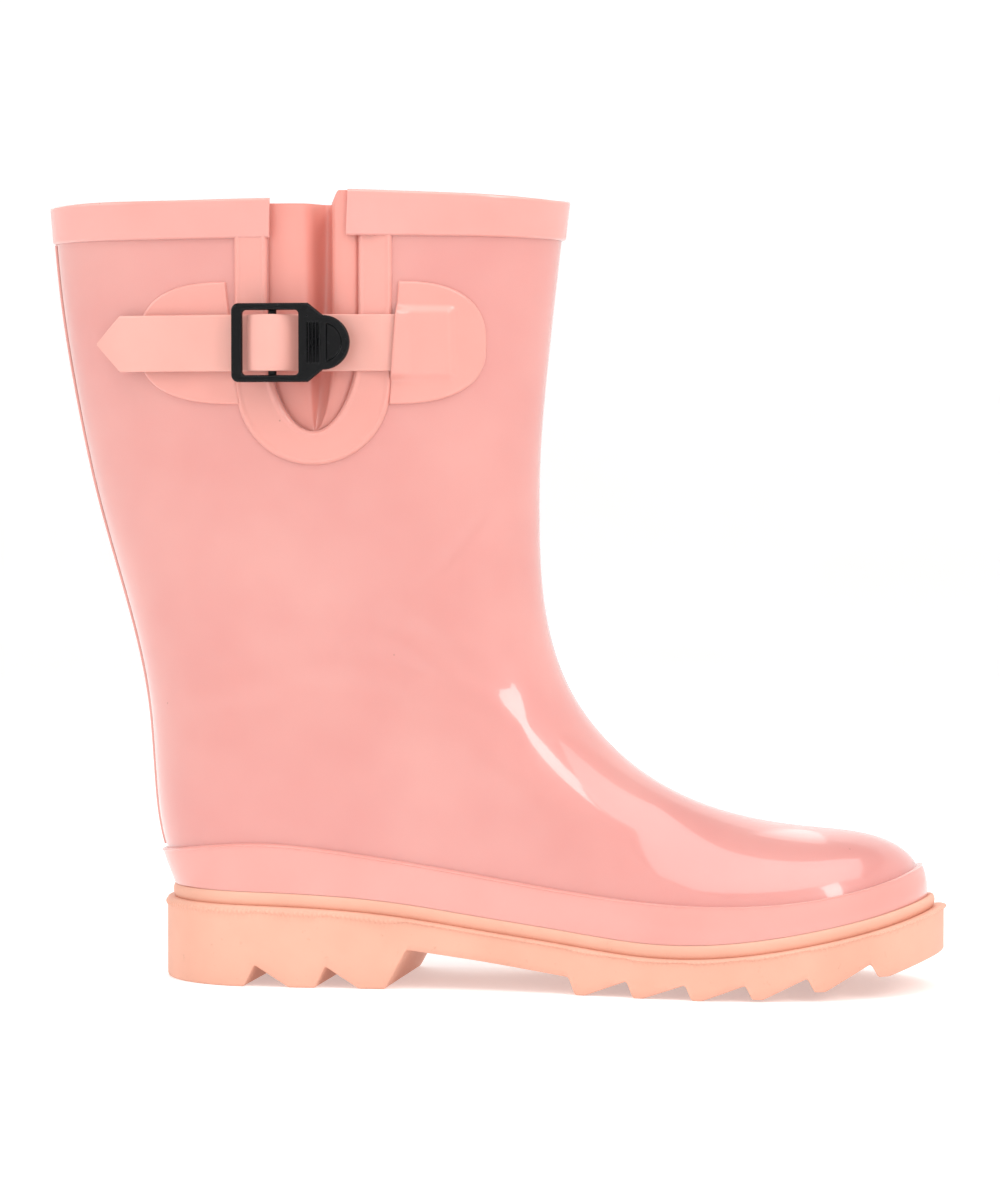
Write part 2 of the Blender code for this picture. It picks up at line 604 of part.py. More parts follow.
def d_patch(name, straight, length, lift, columns, material):
    """D-shaped patch from its straight edge at x = straight to its round end."""
    extra = [TRIM_EDGE + STRAP_DROP + 1.5 * MM] + [TRIM_EDGE + STRAP_TONGUE + d for d in (0.5 * MM, 2.1 * MM)]
    extra = extra if lift is not None else []
    share = np.sin(np.linspace(0.0, 0.93, columns) * math.pi / 2)
    x = np.unique(np.r_[straight + length * share, extra])[None, :]
    high = PATCH_HEIGHT / 2 * (1 - (np.abs(x - straight) / abs(length)) ** 2.6) ** (1 / 2.6)
    inner_rows = STRAP_HEIGHT / 2 + np.array([0.5, 1.9]) * MM
    rows = np.r_[-1.0, -0.8, 0.0, 0.8, 1.0]
    z = high * rows[:, None]
    if lift is not None:
        bands = np.r_[-inner_rows[::-1], 0.0, inner_rows][:, None] * np.ones_like(high)
        fits = np.minimum(1.0, high / (inner_rows[1] + 1.0 * MM))
        z = np.vstack([-high, bands * fits, high])
    z = STRAP_Z + z
    x = np.broadcast_to(x, z.shape)
    rise = lift(x, z) if lift is not None else 0.0 * x
    wall = PATCH_WALL * np.ones_like(x)
    wall[[0, -1], :] *= 0.5
    return sheet(name, skin(x, z, FLANK, GAP + rise + wall), skin(x, z, FLANK, GAP + rise), material)


def rear_patch(material):
    return d_patch("rear_patch", REAR_EDGE, -REAR_PATCH_LENGTH, None, 9, material)


def front_patch(material):
    return d_patch("front_patch", TRIM_EDGE, FRONT_PATCH_LENGTH, strap_rise, 8, material)


def ribbon(name, low_line, high_line, wall, low, high, material, origin=(0.0, 0.0, 0.0)):
    """Band of even wall between a line in X and Y at height low and another at height high."""
    edges = []
    for line, z in ((low_line, low), (high_line, high)):
        centre = np.asarray(line)
        slope = np.gradient(centre, axis=0)
        slope /= np.linalg.norm(slope, axis=1, keepdims=True)
        normal = np.stack([-slope[:, 1], slope[:, 0]], axis=-1)
        edges.append([np.insert(centre + sign * wall * normal, 2, z, axis=1) for sign in (0.5, -0.5)])
    faces = [np.stack([edges[0][k], edges[1][k]]) for k in (0, 1)]
    return sheet(name, faces[0], faces[1], material, origin)


def strap(material):
    """From under the front patch, over the trim and up over the middle bar in an arch."""
    half = STRAP_WALL / 2
    crest = BAR_STAND_OFF + LOOP_OUTER + GAP + half
    lying = STRAP_OVER_TRIM + half
    end = TRIM_EDGE + STRAP_TONGUE
    knots = [(FRAME_LEFT + BAR_WIDTH + 0.9 * MM, TAIL_OFF + STRAP_WALL + GAP + half + 0.5 * MM),
             (BAR_X - 5.0 * MM, crest - 1.2 * MM), (BAR_X, crest), (BAR_X + 4.4 * MM, crest - 2.3 * MM),
             (BAR_X + 9.0 * MM, lying + 1.6 * MM), (BAR_X + 13.0 * MM, lying + 0.2 * MM),
             (BAR_X + 16.0 * MM, lying)]
    arch = np.vstack([smooth_line(knots, 24), [(TRIM_EDGE - 4 * MM, lying)]])
    under_x = np.array([TRIM_EDGE + 0.5 * MM, TRIM_EDGE + STRAP_DROP, TRIM_EDGE + 2 * STRAP_DROP, end])
    arch = np.stack([arch[:, 0], -SHAFT_HALF_WIDTH - arch[:, 1]], axis=-1)
    lines, edges = [], (STRAP_Z - STRAP_HEIGHT / 2, STRAP_Z + STRAP_HEIGHT / 2)
    for z in edges:
        under = skin(under_x, z, FLANK, GAP + half)[:, :2]
        under[0, 1] -= STRAP_OVER_TRIM - GAP
        lines.append(np.vstack([arch, under]))
    return ribbon("strap", *lines, STRAP_WALL, *edges, material)


def strap_tail(material):
    """Free end over the rear patch; it ends in a point and slides out to the rear."""
    inner_end = FRAME_LEFT + BAR_WIDTH + 0.9 * MM + TAIL_TRAVEL
    tip = inner_end - TAIL_TRAVEL - TAIL_REACH
    x = np.r_[np.linspace(inner_end, tip + TAIL_POINT, 12), tip + TAIL_POINT * 0.04][None, :]
    high = np.r_[np.full(12, STRAP_HEIGHT / 2), 0.8 * MM]
    z = STRAP_Z + high * np.array([-1.0, 1.0])[:, None]
    x = np.broadcast_to(x, z.shape)
    base = skin(x, STRAP_Z, FLANK, TAIL_OFF)
    top = skin(x, STRAP_Z, FLANK, TAIL_OFF + STRAP_WALL)
    base[..., 2] = z
    top[..., 2] = z
    return sheet("strap_tail", top, base, material, origin=(FRAME_LEFT, BAR_Y, STRAP_Z))


def anchor_loop(material):
    """Short band glued at the rear, wrapped round the middle bar."""
    centre_radius = LOOP_INNER + LOOP_WALL / 2
    turn = np.radians(np.linspace(-90.0, 200.0, 24))
    wrap = np.stack([BAR_X + centre_radius * np.cos(turn), BAR_Y - centre_radius * np.sin(turn)], axis=-1)
    start = REAR_EDGE - ANCHOR_GRIP
    leg_y = -SHAFT_HALF_WIDTH - LEG_OFF - LOOP_WALL / 2
    leg = np.array([(start, leg_y), (start + 5 * MM, leg_y), (BAR_X - LOOP_OUTER - 0.3 * MM, leg_y)])
    line = np.vstack([leg, wrap])
    z = STRAP_HEIGHT / 2 - 0.6 * MM
    return ribbon("anchor_loop", line, line, LOOP_WALL, STRAP_Z - z, STRAP_Z + z, material)


def rounded_box(left, right, low, high, radius, steps=4):
    """Closed outline of a rectangle with round corners."""
    points = []
    corners = [(right - radius, high - radius, 0), (left + radius, high - radius, 90),
               (left + radius, low + radius, 180), (right - radius, low + radius, 270)]
    for x, z, start in corners:
        for angle in np.radians(start + np.linspace(0, 90, steps)):
            points.append((x + radius * math.cos(angle), z + radius * math.sin(angle)))
    return points


def buckle_outline():
    """Frame with round corners on the left and the thumb tab on the right."""
    half = STRAP_HEIGHT / 2 + 1.4 * MM + RAIL_HEIGHT
    neck = STRAP_HEIGHT / 2 - 0.4 * MM
    radius = 2.4 * MM
    tab = [(FRAME_RIGHT + (TAB_LENGTH - neck) + neck * math.sin(a), STRAP_Z - neck * math.cos(a))
           for a in np.linspace(0.0, math.pi, 13)]
    left = [(FRAME_LEFT + radius - radius * math.sin(a), STRAP_Z + half - radius + radius * math.cos(a))
            for a in np.linspace(0.0, math.pi / 2, 4)]
    mirror = [(x, 2 * STRAP_Z - z) for x, z in reversed(left)]
    shoulder = FRAME_RIGHT - 0.6 * MM
    return [(shoulder, STRAP_Z - half)] + tab + [(shoulder, STRAP_Z + half)] + left + mirror


def cylinder_z(name, x, y, low, high, radius, material=None, steps=20, origin=(0.0, 0.0, 0.0)):
    turn = np.linspace(0.0, 2 * math.pi, steps, endpoint=False)
    outline = np.stack([x + radius * np.cos(turn), y + radius * np.sin(turn)], axis=-1)
    return prism(name, outline, low, high, "Z", material, origin)


def buckle(material):
    """Flat frame with a window, a thumb tab and a round bar sunk behind it on two lugs."""
    axis = (BAR_X, BAR_Y, STRAP_Z)
    mid = BAR_Y - BAR_SINK
    back, face = mid + FRAME_THICKNESS / 2, mid - FRAME_THICKNESS / 2
    obj = prism("buckle", buckle_outline(), face, back, "Y", material, axis)
    high = STRAP_HEIGHT / 2 + 1.4 * MM
    window = rounded_box(BAR_X - WINDOW_LENGTH / 2, BAR_X + WINDOW_LENGTH / 2,
                         STRAP_Z - high, STRAP_Z + high, 1.2 * MM)
    boolean(obj, prism("window_tool", window, face - MM, back + MM, "Y"), "DIFFERENCE")
    outer = high + RAIL_HEIGHT - 0.4 * MM
    bar = cylinder_z("bar_tool", BAR_X, BAR_Y, STRAP_Z - outer, STRAP_Z + outer, BAR_RADIUS)
    boolean(obj, bar, "UNION")
    for sign in (-1, 1):
        z = sorted((STRAP_Z + sign * (high + 0.05 * MM), STRAP_Z + sign * (outer - 0.1 * MM)))
        lug = [(BAR_X - 2.2 * MM, BAR_Y + 1.7 * MM), (BAR_X + 2.2 * MM, BAR_Y + 1.7 * MM),
               (BAR_X + 3.6 * MM, mid - 0.3 * MM), (BAR_X - 3.6 * MM, mid - 0.3 * MM)]
        boolean(obj, prism(f"lug_tool_{sign}", lug, *z, "Z"), "UNION")
    return obj


# ---------- sole and what lies on it ----------

def plan_half(x, margin, low, high, toe_round, heel_round):
    """Half-width of a sole's plan at x, round at both ends."""
    heel = np.clip(1 - (x - low) / heel_round, 0.0, 1.0)
    toe = np.clip(1 - (high - x) / toe_round, 0.0, 1.0)
    reach = read_line(WIDTH_LINE, x) + margin
    return reach * np.sqrt(np.clip((1 - heel ** 2) * (1 - toe ** TOE_POWER), 0.0, None))


def plan_points(margin, count):
    """Stations and half-widths of the plan outline, margin outside the shell's."""
    low = BACK_LINE[-1, 0] - margin
    high = TOE_TIP + margin * TOE_MARGIN / SOLE_MARGIN
    x = low + (high - low) * (1 - np.cos(np.linspace(0.0, math.pi, count))) / 2
    half = plan_half(x, margin, low, high, TOE_ROUND + margin, HEEL_BACK_ROUND + margin)
    return x, half, read_line(SHIFT_LINE, x)


def plan_outline(margin, count=30):
    x, half, middle = plan_points(margin, count)
    outer = np.stack([x, middle - half], axis=-1)
    inner = np.stack([x, middle + half], axis=-1)[-2:0:-1]
    return np.vstack([outer, inner])


def bent_plate(name, margin, low_z, high_z, material, count=24):
    """Plate with the sole's plan that follows the bed; it is drawn in by a negative margin."""
    x, half, middle = plan_points(margin, count)
    x, half, middle = x[1:-1], half[1:-1], middle[1:-1]
    across = np.array([-1.0, 0.0, 1.0])[:, None]
    y = middle + half * across
    xs = np.broadcast_to(x, y.shape)
    top = np.stack([xs, y, high_z(xs)], axis=-1)
    low = np.stack([xs, y, low_z(xs)], axis=-1)
    return sheet(name, top, low, material)


def lug_outline():
    """Underside of the sole from heel to toe: heel block, arch and forefoot lugs."""
    rear = -HEEL_REACH - 5 * MM
    heel = [(rear, 0.0), (along(4.9), 0.0), (along(6.3), HEEL_NOTCH), (along(10.7), 0.0),
            (along(14.1), 0.0), (along(15.4), HEEL_NOTCH), (along(19.7), 0.0), (along(23.0), 0.0)]
    arch = [(along(25.8), 14.1 * MM), (along(35.3), 10.7 * MM), (along(42.0), 8.0 * MM)]
    lugs = []
    start, pitch = along(46.6), along(7.5)
    for i in range(LUG_COUNT):
        x = start + i * pitch
        ahead = np.clip((x - along(62)) / along(30), 0.0, None)
        bottom = TOE_SPRING * ahead ** 2
        top = bottom + (6.2 - 0.45 * min(i, 3)) * MM
        lugs += [(x, top), (x + 2.3 * MM, bottom), (x + 6.0 * MM, bottom)]
    tip = SOLE_LENGTH - HEEL_REACH + 5 * MM
    return heel + arch + lugs + [(tip, TOE_SPRING + 1.0 * MM)]


def outsole(material):
    reach = BALL_HALF_WIDTH + 30 * MM
    top_x = np.linspace(-HEEL_REACH - 5 * MM, SOLE_LENGTH - HEEL_REACH + 5 * MM, 26)[::-1]
    ledge = [(x, float(read_line(LEDGE_LINE, x))) for x in top_x]
    obj = prism("outsole", lug_outline() + ledge, -reach, reach, "Y", material)
    boolean(obj, prism("plan_tool", plan_outline(SOLE_MARGIN), -MM, 60 * MM, "Z"), "INTERSECT")
    welt = bent_plate("welt_tool", SOLE_MARGIN - WELT_INSET,
                      lambda x: read_line(LEDGE_LINE, x) - MM, bed_z, None, 30)
    boolean(obj, welt, "UNION")
    pocket = shank_bar("shank_pocket_tool", GAP, None)
    boolean(obj, pocket, "DIFFERENCE")
    return obj


def shank_bar(name, clearance, material):
    """Bent strip along the waist; with clearance it is the pocket that the strip lies in."""
    x = np.linspace(along(12) - clearance, along(48) + clearance, 10)[None, :]
    y = np.array([-1.0, 1.0])[:, None] * (SHANK_HALF_WIDTH + clearance) + read_line(SHIFT_LINE, x)
    x = np.broadcast_to(x, y.shape)
    top = bed_z(x) + (2 * MM if clearance else -0.1 * MM)
    low = bed_z(x) - SHANK_WALL - 0.1 * MM - clearance
    return sheet(name, np.stack([x, y, top], axis=-1), np.stack([x, y, low], axis=-1), material)


def board_top(x):
    return bed_z(x) + GAP + BOARD_WALL


def insole_board(material):
    return bent_plate("insole_board", -BOARD_INSET, lambda x: bed_z(x) + GAP, board_top, material)


def footbed(material):
    return bent_plate("footbed", -BOARD_INSET, lambda x: board_top(x) + GAP,
                      lambda x: board_top(x) + GAP + FOOTBED_WALL, material)


# ---------- assembly ----------

def clear_scene():
    for obj in list(bpy.data.objects):
        bpy.data.objects.remove(obj)


def build():
    clear_scene()
    pink = (0.85, 0.40, 0.36)
    upper_shell(paint("glossy_pink_rubber", pink, 0.12))
    cuff_band(paint("cuff_rubber", pink, 0.15))
    back_stay(paint("stay_rubber", pink, 0.15))
    gusset(paint("gusset_rubber", (0.72, 0.33, 0.29), 0.35))
    gusset_trim(paint("trim_rubber", (0.80, 0.38, 0.34), 0.25))
    rear_patch(paint("rear_patch_rubber", (0.79, 0.39, 0.34), 0.3))
    front_patch(paint("front_patch_rubber", (0.79, 0.39, 0.34), 0.3))
    strap(paint("strap_rubber", (0.83, 0.47, 0.40), 0.35))
    strap_tail(paint("tail_rubber", (0.83, 0.47, 0.40), 0.35))
    anchor_loop(paint("loop_rubber", (0.83, 0.47, 0.40), 0.35))
    buckle(paint("black_moulded_plastic", (0.02, 0.02, 0.025), 0.35))
    foxing(paint("foxing_rubber", (0.82, 0.40, 0.35), 0.2))
    outsole(paint("peach_sole_rubber", (0.80, 0.44, 0.31), 0.6))
    lining(paint("knit_lining", (0.75, 0.70, 0.68), 0.9))
    insole_board(paint("pressed_board", (0.45, 0.36, 0.27), 0.85))
    footbed(paint("foam_footbed", (0.78, 0.74, 0.70), 0.95))
    shank_bar("shank", 0.0, paint("spring_steel", (0.5, 0.5, 0.5), 0.4, 1.0))
    heel_counter(paint("counter_board", (0.5, 0.42, 0.34), 0.8))
    toe_puff(paint("puff_board", (0.5, 0.42, 0.34), 0.8))


build()
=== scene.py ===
# %% [markdown]
# # A glossy rubber rain boot
# The boot is a right-foot wellington: a thin moulded rubber shell on a lugged sole, with a slit in
# its outer side that a folded gusset closes and a strap with a plastic buckle draws in.
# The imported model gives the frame: every piece here goes where its solid says, in metres, with +X
# to the toe, +Z up and -Y the outer side. The frame is loaded first, and its box is kept.

# %% Load the frame
import math

import bmesh
import bpy
import numpy as np
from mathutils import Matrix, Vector


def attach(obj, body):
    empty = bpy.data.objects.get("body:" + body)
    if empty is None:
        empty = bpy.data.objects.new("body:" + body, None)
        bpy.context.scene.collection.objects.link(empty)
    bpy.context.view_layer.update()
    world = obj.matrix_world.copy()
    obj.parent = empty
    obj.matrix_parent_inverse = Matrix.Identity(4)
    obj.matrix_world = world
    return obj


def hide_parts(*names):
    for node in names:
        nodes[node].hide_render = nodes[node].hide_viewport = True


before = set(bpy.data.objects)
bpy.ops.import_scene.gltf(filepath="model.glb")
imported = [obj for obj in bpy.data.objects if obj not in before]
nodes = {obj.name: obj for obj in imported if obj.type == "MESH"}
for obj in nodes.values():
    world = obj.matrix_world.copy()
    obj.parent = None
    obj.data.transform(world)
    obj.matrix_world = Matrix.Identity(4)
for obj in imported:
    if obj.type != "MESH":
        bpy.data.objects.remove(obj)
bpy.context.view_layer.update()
MM = 0.001
print("nodes:", sorted(nodes))

# %% [markdown]
# ## Camera
# A long lens from a metre and a half away, a little above the boot's middle and turned slightly
# towards the toe, keeps the sole's line almost straight, as a catalogue view does. Its place is
# fixed, so a boot of another size would need it moved.

# %% Camera
AIM_X, AIM_Z = 100 * MM, 136.7 * MM
LENS, SENSOR = 122.7, 36.0
target = Vector((AIM_X, 0.0, AIM_Z))
DISTANCE = 1.472
TURN = math.radians(10.0)
CAMERA_HEIGHT = 193 * MM
eye = Vector((target.x + DISTANCE * math.sin(TURN), -DISTANCE * math.cos(TURN), CAMERA_HEIGHT))
camera_data = bpy.data.cameras.new("camera")
camera_data.lens = LENS
camera_data.sensor_width = SENSOR
camera_data.clip_start = 0.05
camera = bpy.data.objects.new("camera", camera_data)
camera.location = eye
camera.rotation_euler = (target - eye).to_track_quat("-Z", "Y").to_euler()
bpy.context.scene.collection.objects.link(camera)
bpy.context.scene.camera = camera
print("camera at", [round(v, 3) for v in eye])

# %% [markdown]
# ## Lines of the last
# A boot is drawn on two lines seen from the side: the front line, which runs down the shin and
# over the instep to the toe, and the back line down to the heel. Both are natural cubic curves
# through a handful of points, because such a curve has no kinks for a glossy surface to show.

# %% Curves through points
SOLE_LENGTH = 281.4 * MM
RIM_HEIGHT = 279.0 * MM
ANKLE_HEIGHT = 120.0 * MM
HEEL_REACH = 22.3 * MM
TOE_TIP = SOLE_LENGTH - HEEL_REACH - 7.4 * MM
WELT_HEIGHT = 4.8 * MM


def smooth_line(points, count=3000):
    """Natural cubic curve: second derivatives solved so that each span meets the next."""
    knots = np.array(points, dtype=float)
    chord = np.r_[0.0, np.cumsum(np.hypot(*np.diff(knots, axis=0).T))]
    step = np.diff(chord)
    size = len(knots)
    system, right = np.eye(size), np.zeros_like(knots)
    for i in range(1, size - 1):
        system[i, i - 1:i + 2] = step[i - 1], 2 * (step[i - 1] + step[i]), step[i]
        right[i] = 6 * ((knots[i + 1] - knots[i]) / step[i] - (knots[i] - knots[i - 1]) / step[i - 1])
    bend = np.linalg.solve(system, right)
    at = np.linspace(0.0, chord[-1], count)
    i = np.clip(np.searchsorted(chord, at) - 1, 0, size - 2)
    h, a, b = step[i][:, None], (chord[i + 1] - at)[:, None], (at - chord[i])[:, None]
    return ((bend[i] * a ** 3 + bend[i + 1] * b ** 3) / (6 * h)
            + (knots[i] / h - bend[i] * h / 6) * a
            + (knots[i + 1] / h - bend[i + 1] * h / 6) * b)


def along(percent):
    """X of a place in percent of the sole's length ahead of the origin."""
    return percent * SOLE_LENGTH / 100


def up_shaft(share):
    """Height on the shaft: 0 at the ankle, 1 at the rim."""
    return ANKLE_HEIGHT + share * (RIM_HEIGHT - ANKLE_HEIGHT)


def placed_line(shaft, foot):
    """Shaft points as (percent, share) and foot points as (percent, millimetres up), as a curve."""
    points = [(along(p), up_shaft(s)) for p, s in shaft] + [(along(p), h * MM) for p, h in foot]
    return smooth_line(points)


SHAFT_FRONT = [(44.0, 1.0), (42.6, 0.786), (41.5, 0.604), (40.7, 0.42), (40.6, 0.28), (40.95, 0.14)]
VAMP_TOP = [(42.6, 118), (45.3, 101), (49.2, 87), (55.3, 73), (65.5, 61), (77.7, 56.2), (89.3, 55.9)]
SHAFT_BACK = [(-23.0, 1.0), (-21.9, 0.79), (-20.2, 0.6), (-16.9, 0.33), (-12.5, 0.057)]
HEEL_BACK = [(-10.3, 100), (-9.4, 70), (-8.7, 54), (-7.6, 43), (-6.15, 33)]
LEDGE = [(-8.0, 29.0), (7.0, 28.6), (23.8, 25.7), (33.7, 21.8), (45.8, 17.3), (56.0, 14.2),
         (70.0, 15.9), (79.6, 20.5), (88.8, 26.8), (92.1, 29.8)]
FOXING_TOP = [(-8.0, 46.6), (6.4, 50.9), (17.0, 48.4), (35.2, 40.7), (50.1, 34.7), (66.8, 32.3),
              (74.6, 33.7), (85.0, 39.5), (89.5, 44.5), (92.1, 49.5)]
FRONT_LINE = placed_line(SHAFT_FRONT, VAMP_TOP)
BACK_LINE = placed_line(SHAFT_BACK, HEEL_BACK)
LEDGE_LINE = placed_line([], LEDGE)
FOXING_LINE = placed_line([], FOXING_TOP)
print("front line", len(FRONT_LINE), "points, rim at", FRONT_LINE[0].round(4))

# %% [markdown]
# ## The shell's surface as one formula
# On a real last the shaft is oval, the foot is domed and the toe is round. One formula gives all
# three: the square of the half-width at a height and a place along the foot is the square of a
# base width, less what the front, the toe and the back round away. Everything that lies on the
# shell - bands, patches, trims - asks the same formula for its place, so nothing floats.

# %% Formula of the shell
WIDTHS = [(-9, 30.5), (8, 30.5), (30, 28.0), (50, 35.2), (64, 44.0), (75, 42.68), (92, 27.0)]
SHIFTS = [(-9, 0.0), (30, -2.5), (55, 0.0), (75, 3.0), (92, 6.0)]
WIDTH_LINE = smooth_line([(along(p), w * MM) for p, w in WIDTHS])
SHIFT_LINE = smooth_line([(along(p), s * MM) for p, s in SHIFTS])
SHAFT_HALF_WIDTH, ANKLE_HALF_WIDTH = 36.0 * MM, 31.5 * MM
SHAFT_FRONT_ROUND, ANKLE_FRONT_ROUND = 64.0 * MM, 46.0 * MM
SHAFT_BACK_ROUND, HEEL_BACK_ROUND, TOE_ROUND = 70.0 * MM, 33.0 * MM, 46.0 * MM
TOE_POWER, DOME_POWER = 3.5, 2.5
FLANK, INNER = -1.0, 1.0


def read_line(line, x):
    return np.interp(x, line[:, 0], line[:, 1])


def front_x(z):
    return np.interp(z, FRONT_LINE[::-1, 1], FRONT_LINE[::-1, 0])


def back_x(z):
    return np.interp(z, BACK_LINE[::-1, 1], BACK_LINE[::-1, 0])


def vamp_z(x):
    """Top line of the foot ahead of the shaft's rearmost front point."""
    foremost = int(np.argmin(FRONT_LINE[:, 0]))
    return np.interp(x, FRONT_LINE[foremost:, 0], FRONT_LINE[foremost:, 1])


def bed_z(x):
    return read_line(LEDGE_LINE, x) + WELT_HEIGHT


def ramp(value, start, end):
    """Smooth step whose slope is even at both ends: three times the square less twice the cube."""
    share = np.clip((value - start) / (end - start), 0.0, 1.0)
    return share * share * (3 - 2 * share)


def middle_y(x, z):
    """Sideways shift of the foot's middle line, which fades to nought up the ankle."""
    return read_line(SHIFT_LINE, x) * (1 - ramp(z, 55 * MM, ANKLE_HEIGHT))


def half_width(x, z):
    """Base half-width: the foot's at the bed, passing to the leg's over a height ramp."""
    widening = ramp(z, up_shaft(-0.1), up_shaft(0.45))
    shaft = ANKLE_HALF_WIDTH + (SHAFT_HALF_WIDTH - ANKLE_HALF_WIDTH) * widening
    foot = read_line(WIDTH_LINE, x)
    return foot + (shaft - foot) * ramp(z - bed_z(x), 8 * MM, 75 * MM)


def toe_share(x):
    """How far x is into the toe's rounding, 0 to 1, raised to the toe's power."""
    return np.clip(1 - (TOE_TIP - x) / TOE_ROUND, 0.0, None) ** TOE_POWER


def squared_width(x, z):
    """Base width squared, times one less the front's and toe's rounding, times one less the back's."""
    rise = ramp(z, up_shaft(-0.1), up_shaft(0.5))
    front_round = ANKLE_FRONT_ROUND + (SHAFT_FRONT_ROUND - ANKLE_FRONT_ROUND) * rise
    across = np.clip(1 - (front_x(z) - x) / front_round, 0.0, None)
    over = np.clip((z - bed_z(x)) / (vamp_z(x) - bed_z(x)), 0.0, None)
    on_foot = ramp(x, along(36), along(60)) * ramp(-z, -up_shaft(0.2), -up_shaft(-0.25))
    front = across ** 2 + (over ** DOME_POWER - across ** 2) * on_foot
    back_round = HEEL_BACK_ROUND + (SHAFT_BACK_ROUND - HEEL_BACK_ROUND) * ramp(z, 60 * MM, up_shaft(0.6))
    back = np.clip(1 - (x - back_x(z)) / back_round, 0.0, None) ** 2
    return half_width(x, z) ** 2 * (1 - front - toe_share(x)) * (1 - back)


def skin(x, z, side, offset=0.0):
    """Point at x and z on one side, moved along the formula's slope (its normal) by offset."""
    x, z, side, offset = np.broadcast_arrays(np.asarray(x, float), z, side, offset)
    y = middle_y(x, z) + side * np.sqrt(np.clip(squared_width(x, z), 0.0, None))
    step = 0.4 * MM

    def level(px, pz):
        return (y - middle_y(px, pz)) ** 2 - squared_width(px, pz)

    slope = np.stack([level(x + step, z) - level(x - step, z), 4 * step * (y - middle_y(x, z)),
                      level(x, z + step) - level(x, z - step)], axis=-1)
    slope /= np.linalg.norm(slope, axis=-1, keepdims=True) + 1e-12
    return np.stack([x, y, z], axis=-1) + slope * offset[..., None]


print("half-width at the strap", skin(40 * MM, 229 * MM, FLANK).round(4))

# %% [markdown]
# ## Meshes from grids
# Each piece is one or two grids of points. A helper joins them into a closed solid with whole
# numpy arrays, welds seams and poles, and turns the faces outwards. Doing it once here keeps each
# piece's own cell down to its shape.

# %% Grid helpers
def quads(rows, columns, wrap):
    """Corner numbers of every cell in a grid, as an array of four columns."""
    r = np.arange(rows - 1)[:, None]
    c = np.arange(columns if wrap else columns - 1)[None, :]
    after = (c + 1) % columns
    cells = [r * columns + c, (r + 1) * columns + c, (r + 1) * columns + after, r * columns + after]
    return np.stack([np.broadcast_to(k, (rows - 1, c.shape[1])) for k in cells], axis=-1).reshape(-1, 4)


def mesh_object(name, points, faces, weld=2e-6, sharp=40.0):
    """Object from points and quads; doubles are merged, then normals are made to face out."""
    mesh = bpy.data.meshes.new(name)
    mesh.vertices.add(len(points))
    mesh.vertices.foreach_set("co", np.asarray(points, np.float32).ravel())
    mesh.loops.add(faces.size)
    mesh.loops.foreach_set("vertex_index", faces.astype(np.int32).ravel())
    mesh.polygons.add(len(faces))
    mesh.polygons.foreach_set("loop_start", np.arange(0, faces.size, 4, dtype=np.int32))
    mesh.update(calc_edges=True)
    work = bmesh.new()
    work.from_mesh(mesh)
    bmesh.ops.remove_doubles(work, verts=work.verts, dist=weld)
    bmesh.ops.dissolve_degenerate(work, edges=work.edges, dist=weld)
    bmesh.ops.recalc_face_normals(work, faces=work.faces)
    loose = [v for v in work.verts if not v.link_faces]
    bmesh.ops.delete(work, geom=loose, context="VERTS")
    work.to_mesh(mesh)
    work.free()
    mesh.shade_smooth()
    mesh.set_sharp_from_angle(angle=math.radians(sharp))
    obj = bpy.data.objects.new(name, mesh)
    bpy.context.scene.collection.objects.link(obj)
    print(f"{name}: {len(mesh.polygons)} faces")
    return obj


def walled(name, outer, inner, wrap=False, open_rows=None, **more):
    """Closed solid between two grids; open_rows marks rows whose two side edges aren't one seam."""
    rows, columns = outer.shape[:2]
    half = rows * columns
    front = quads(rows, columns, wrap)
    faces = [front, front[:, ::-1] + half]
    for r in (0, rows - 1):
        a = r * columns + np.arange(columns if wrap else columns - 1)
        b = r * columns + (np.arange(len(a)) + 1) % columns
        faces.append(np.stack([a, b, b + half, a + half], axis=-1))
    if not wrap:
        keep = np.ones(rows - 1, bool) if open_rows is None else open_rows[1:]
        r = np.arange(rows - 1)[keep]
        for c in (0, columns - 1):
            a, b = r * columns + c, (r + 1) * columns + c
            faces.append(np.stack([a, b, b + half, a + half], axis=-1))
    points = np.vstack([outer.reshape(-1, 3), inner.reshape(-1, 3)])
    return mesh_object(name, points, np.vstack(faces), **more)


def tube_grid(name, grid, **more):
    """Closed solid from rings (rows) that end in poles or flat rows; the rings wrap round."""
    return mesh_object(name, grid.reshape(-1, 3), quads(*grid.shape[:2], True), **more)


def evenly(line, count):
    """Resamples a line at even steps of its length."""
    length = np.r_[0.0, np.cumsum(np.hypot(*np.diff(line, axis=0).T))]
    at = np.linspace(0.0, length[-1], count)
    return np.stack([np.interp(at, length, line[:, 0]), np.interp(at, length, line[:, 1])], axis=-1)

# %% [markdown]
# ## Ribs from the front line to the back
# The shell's grid has ribs like the slats of a fan: each starts on the front or top line and ends
# on the back line, or on the sole further forward. Rows then follow the leg round the ankle bend
# and into the foot, so the mesh has no seam where the shaft meets the foot.

# %% Shell grid
HEEL_SHARE = 0.58
GAP = 0.3 * MM


def toe_top(x):
    """Height where the foot's width reaches nought: the vamp line, lower round the toe."""
    share = np.clip(1 - toe_share(x), 0.0, 1.0) ** (1 / DOME_POWER)
    return bed_z(x) + (vamp_z(x) - bed_z(x)) * share


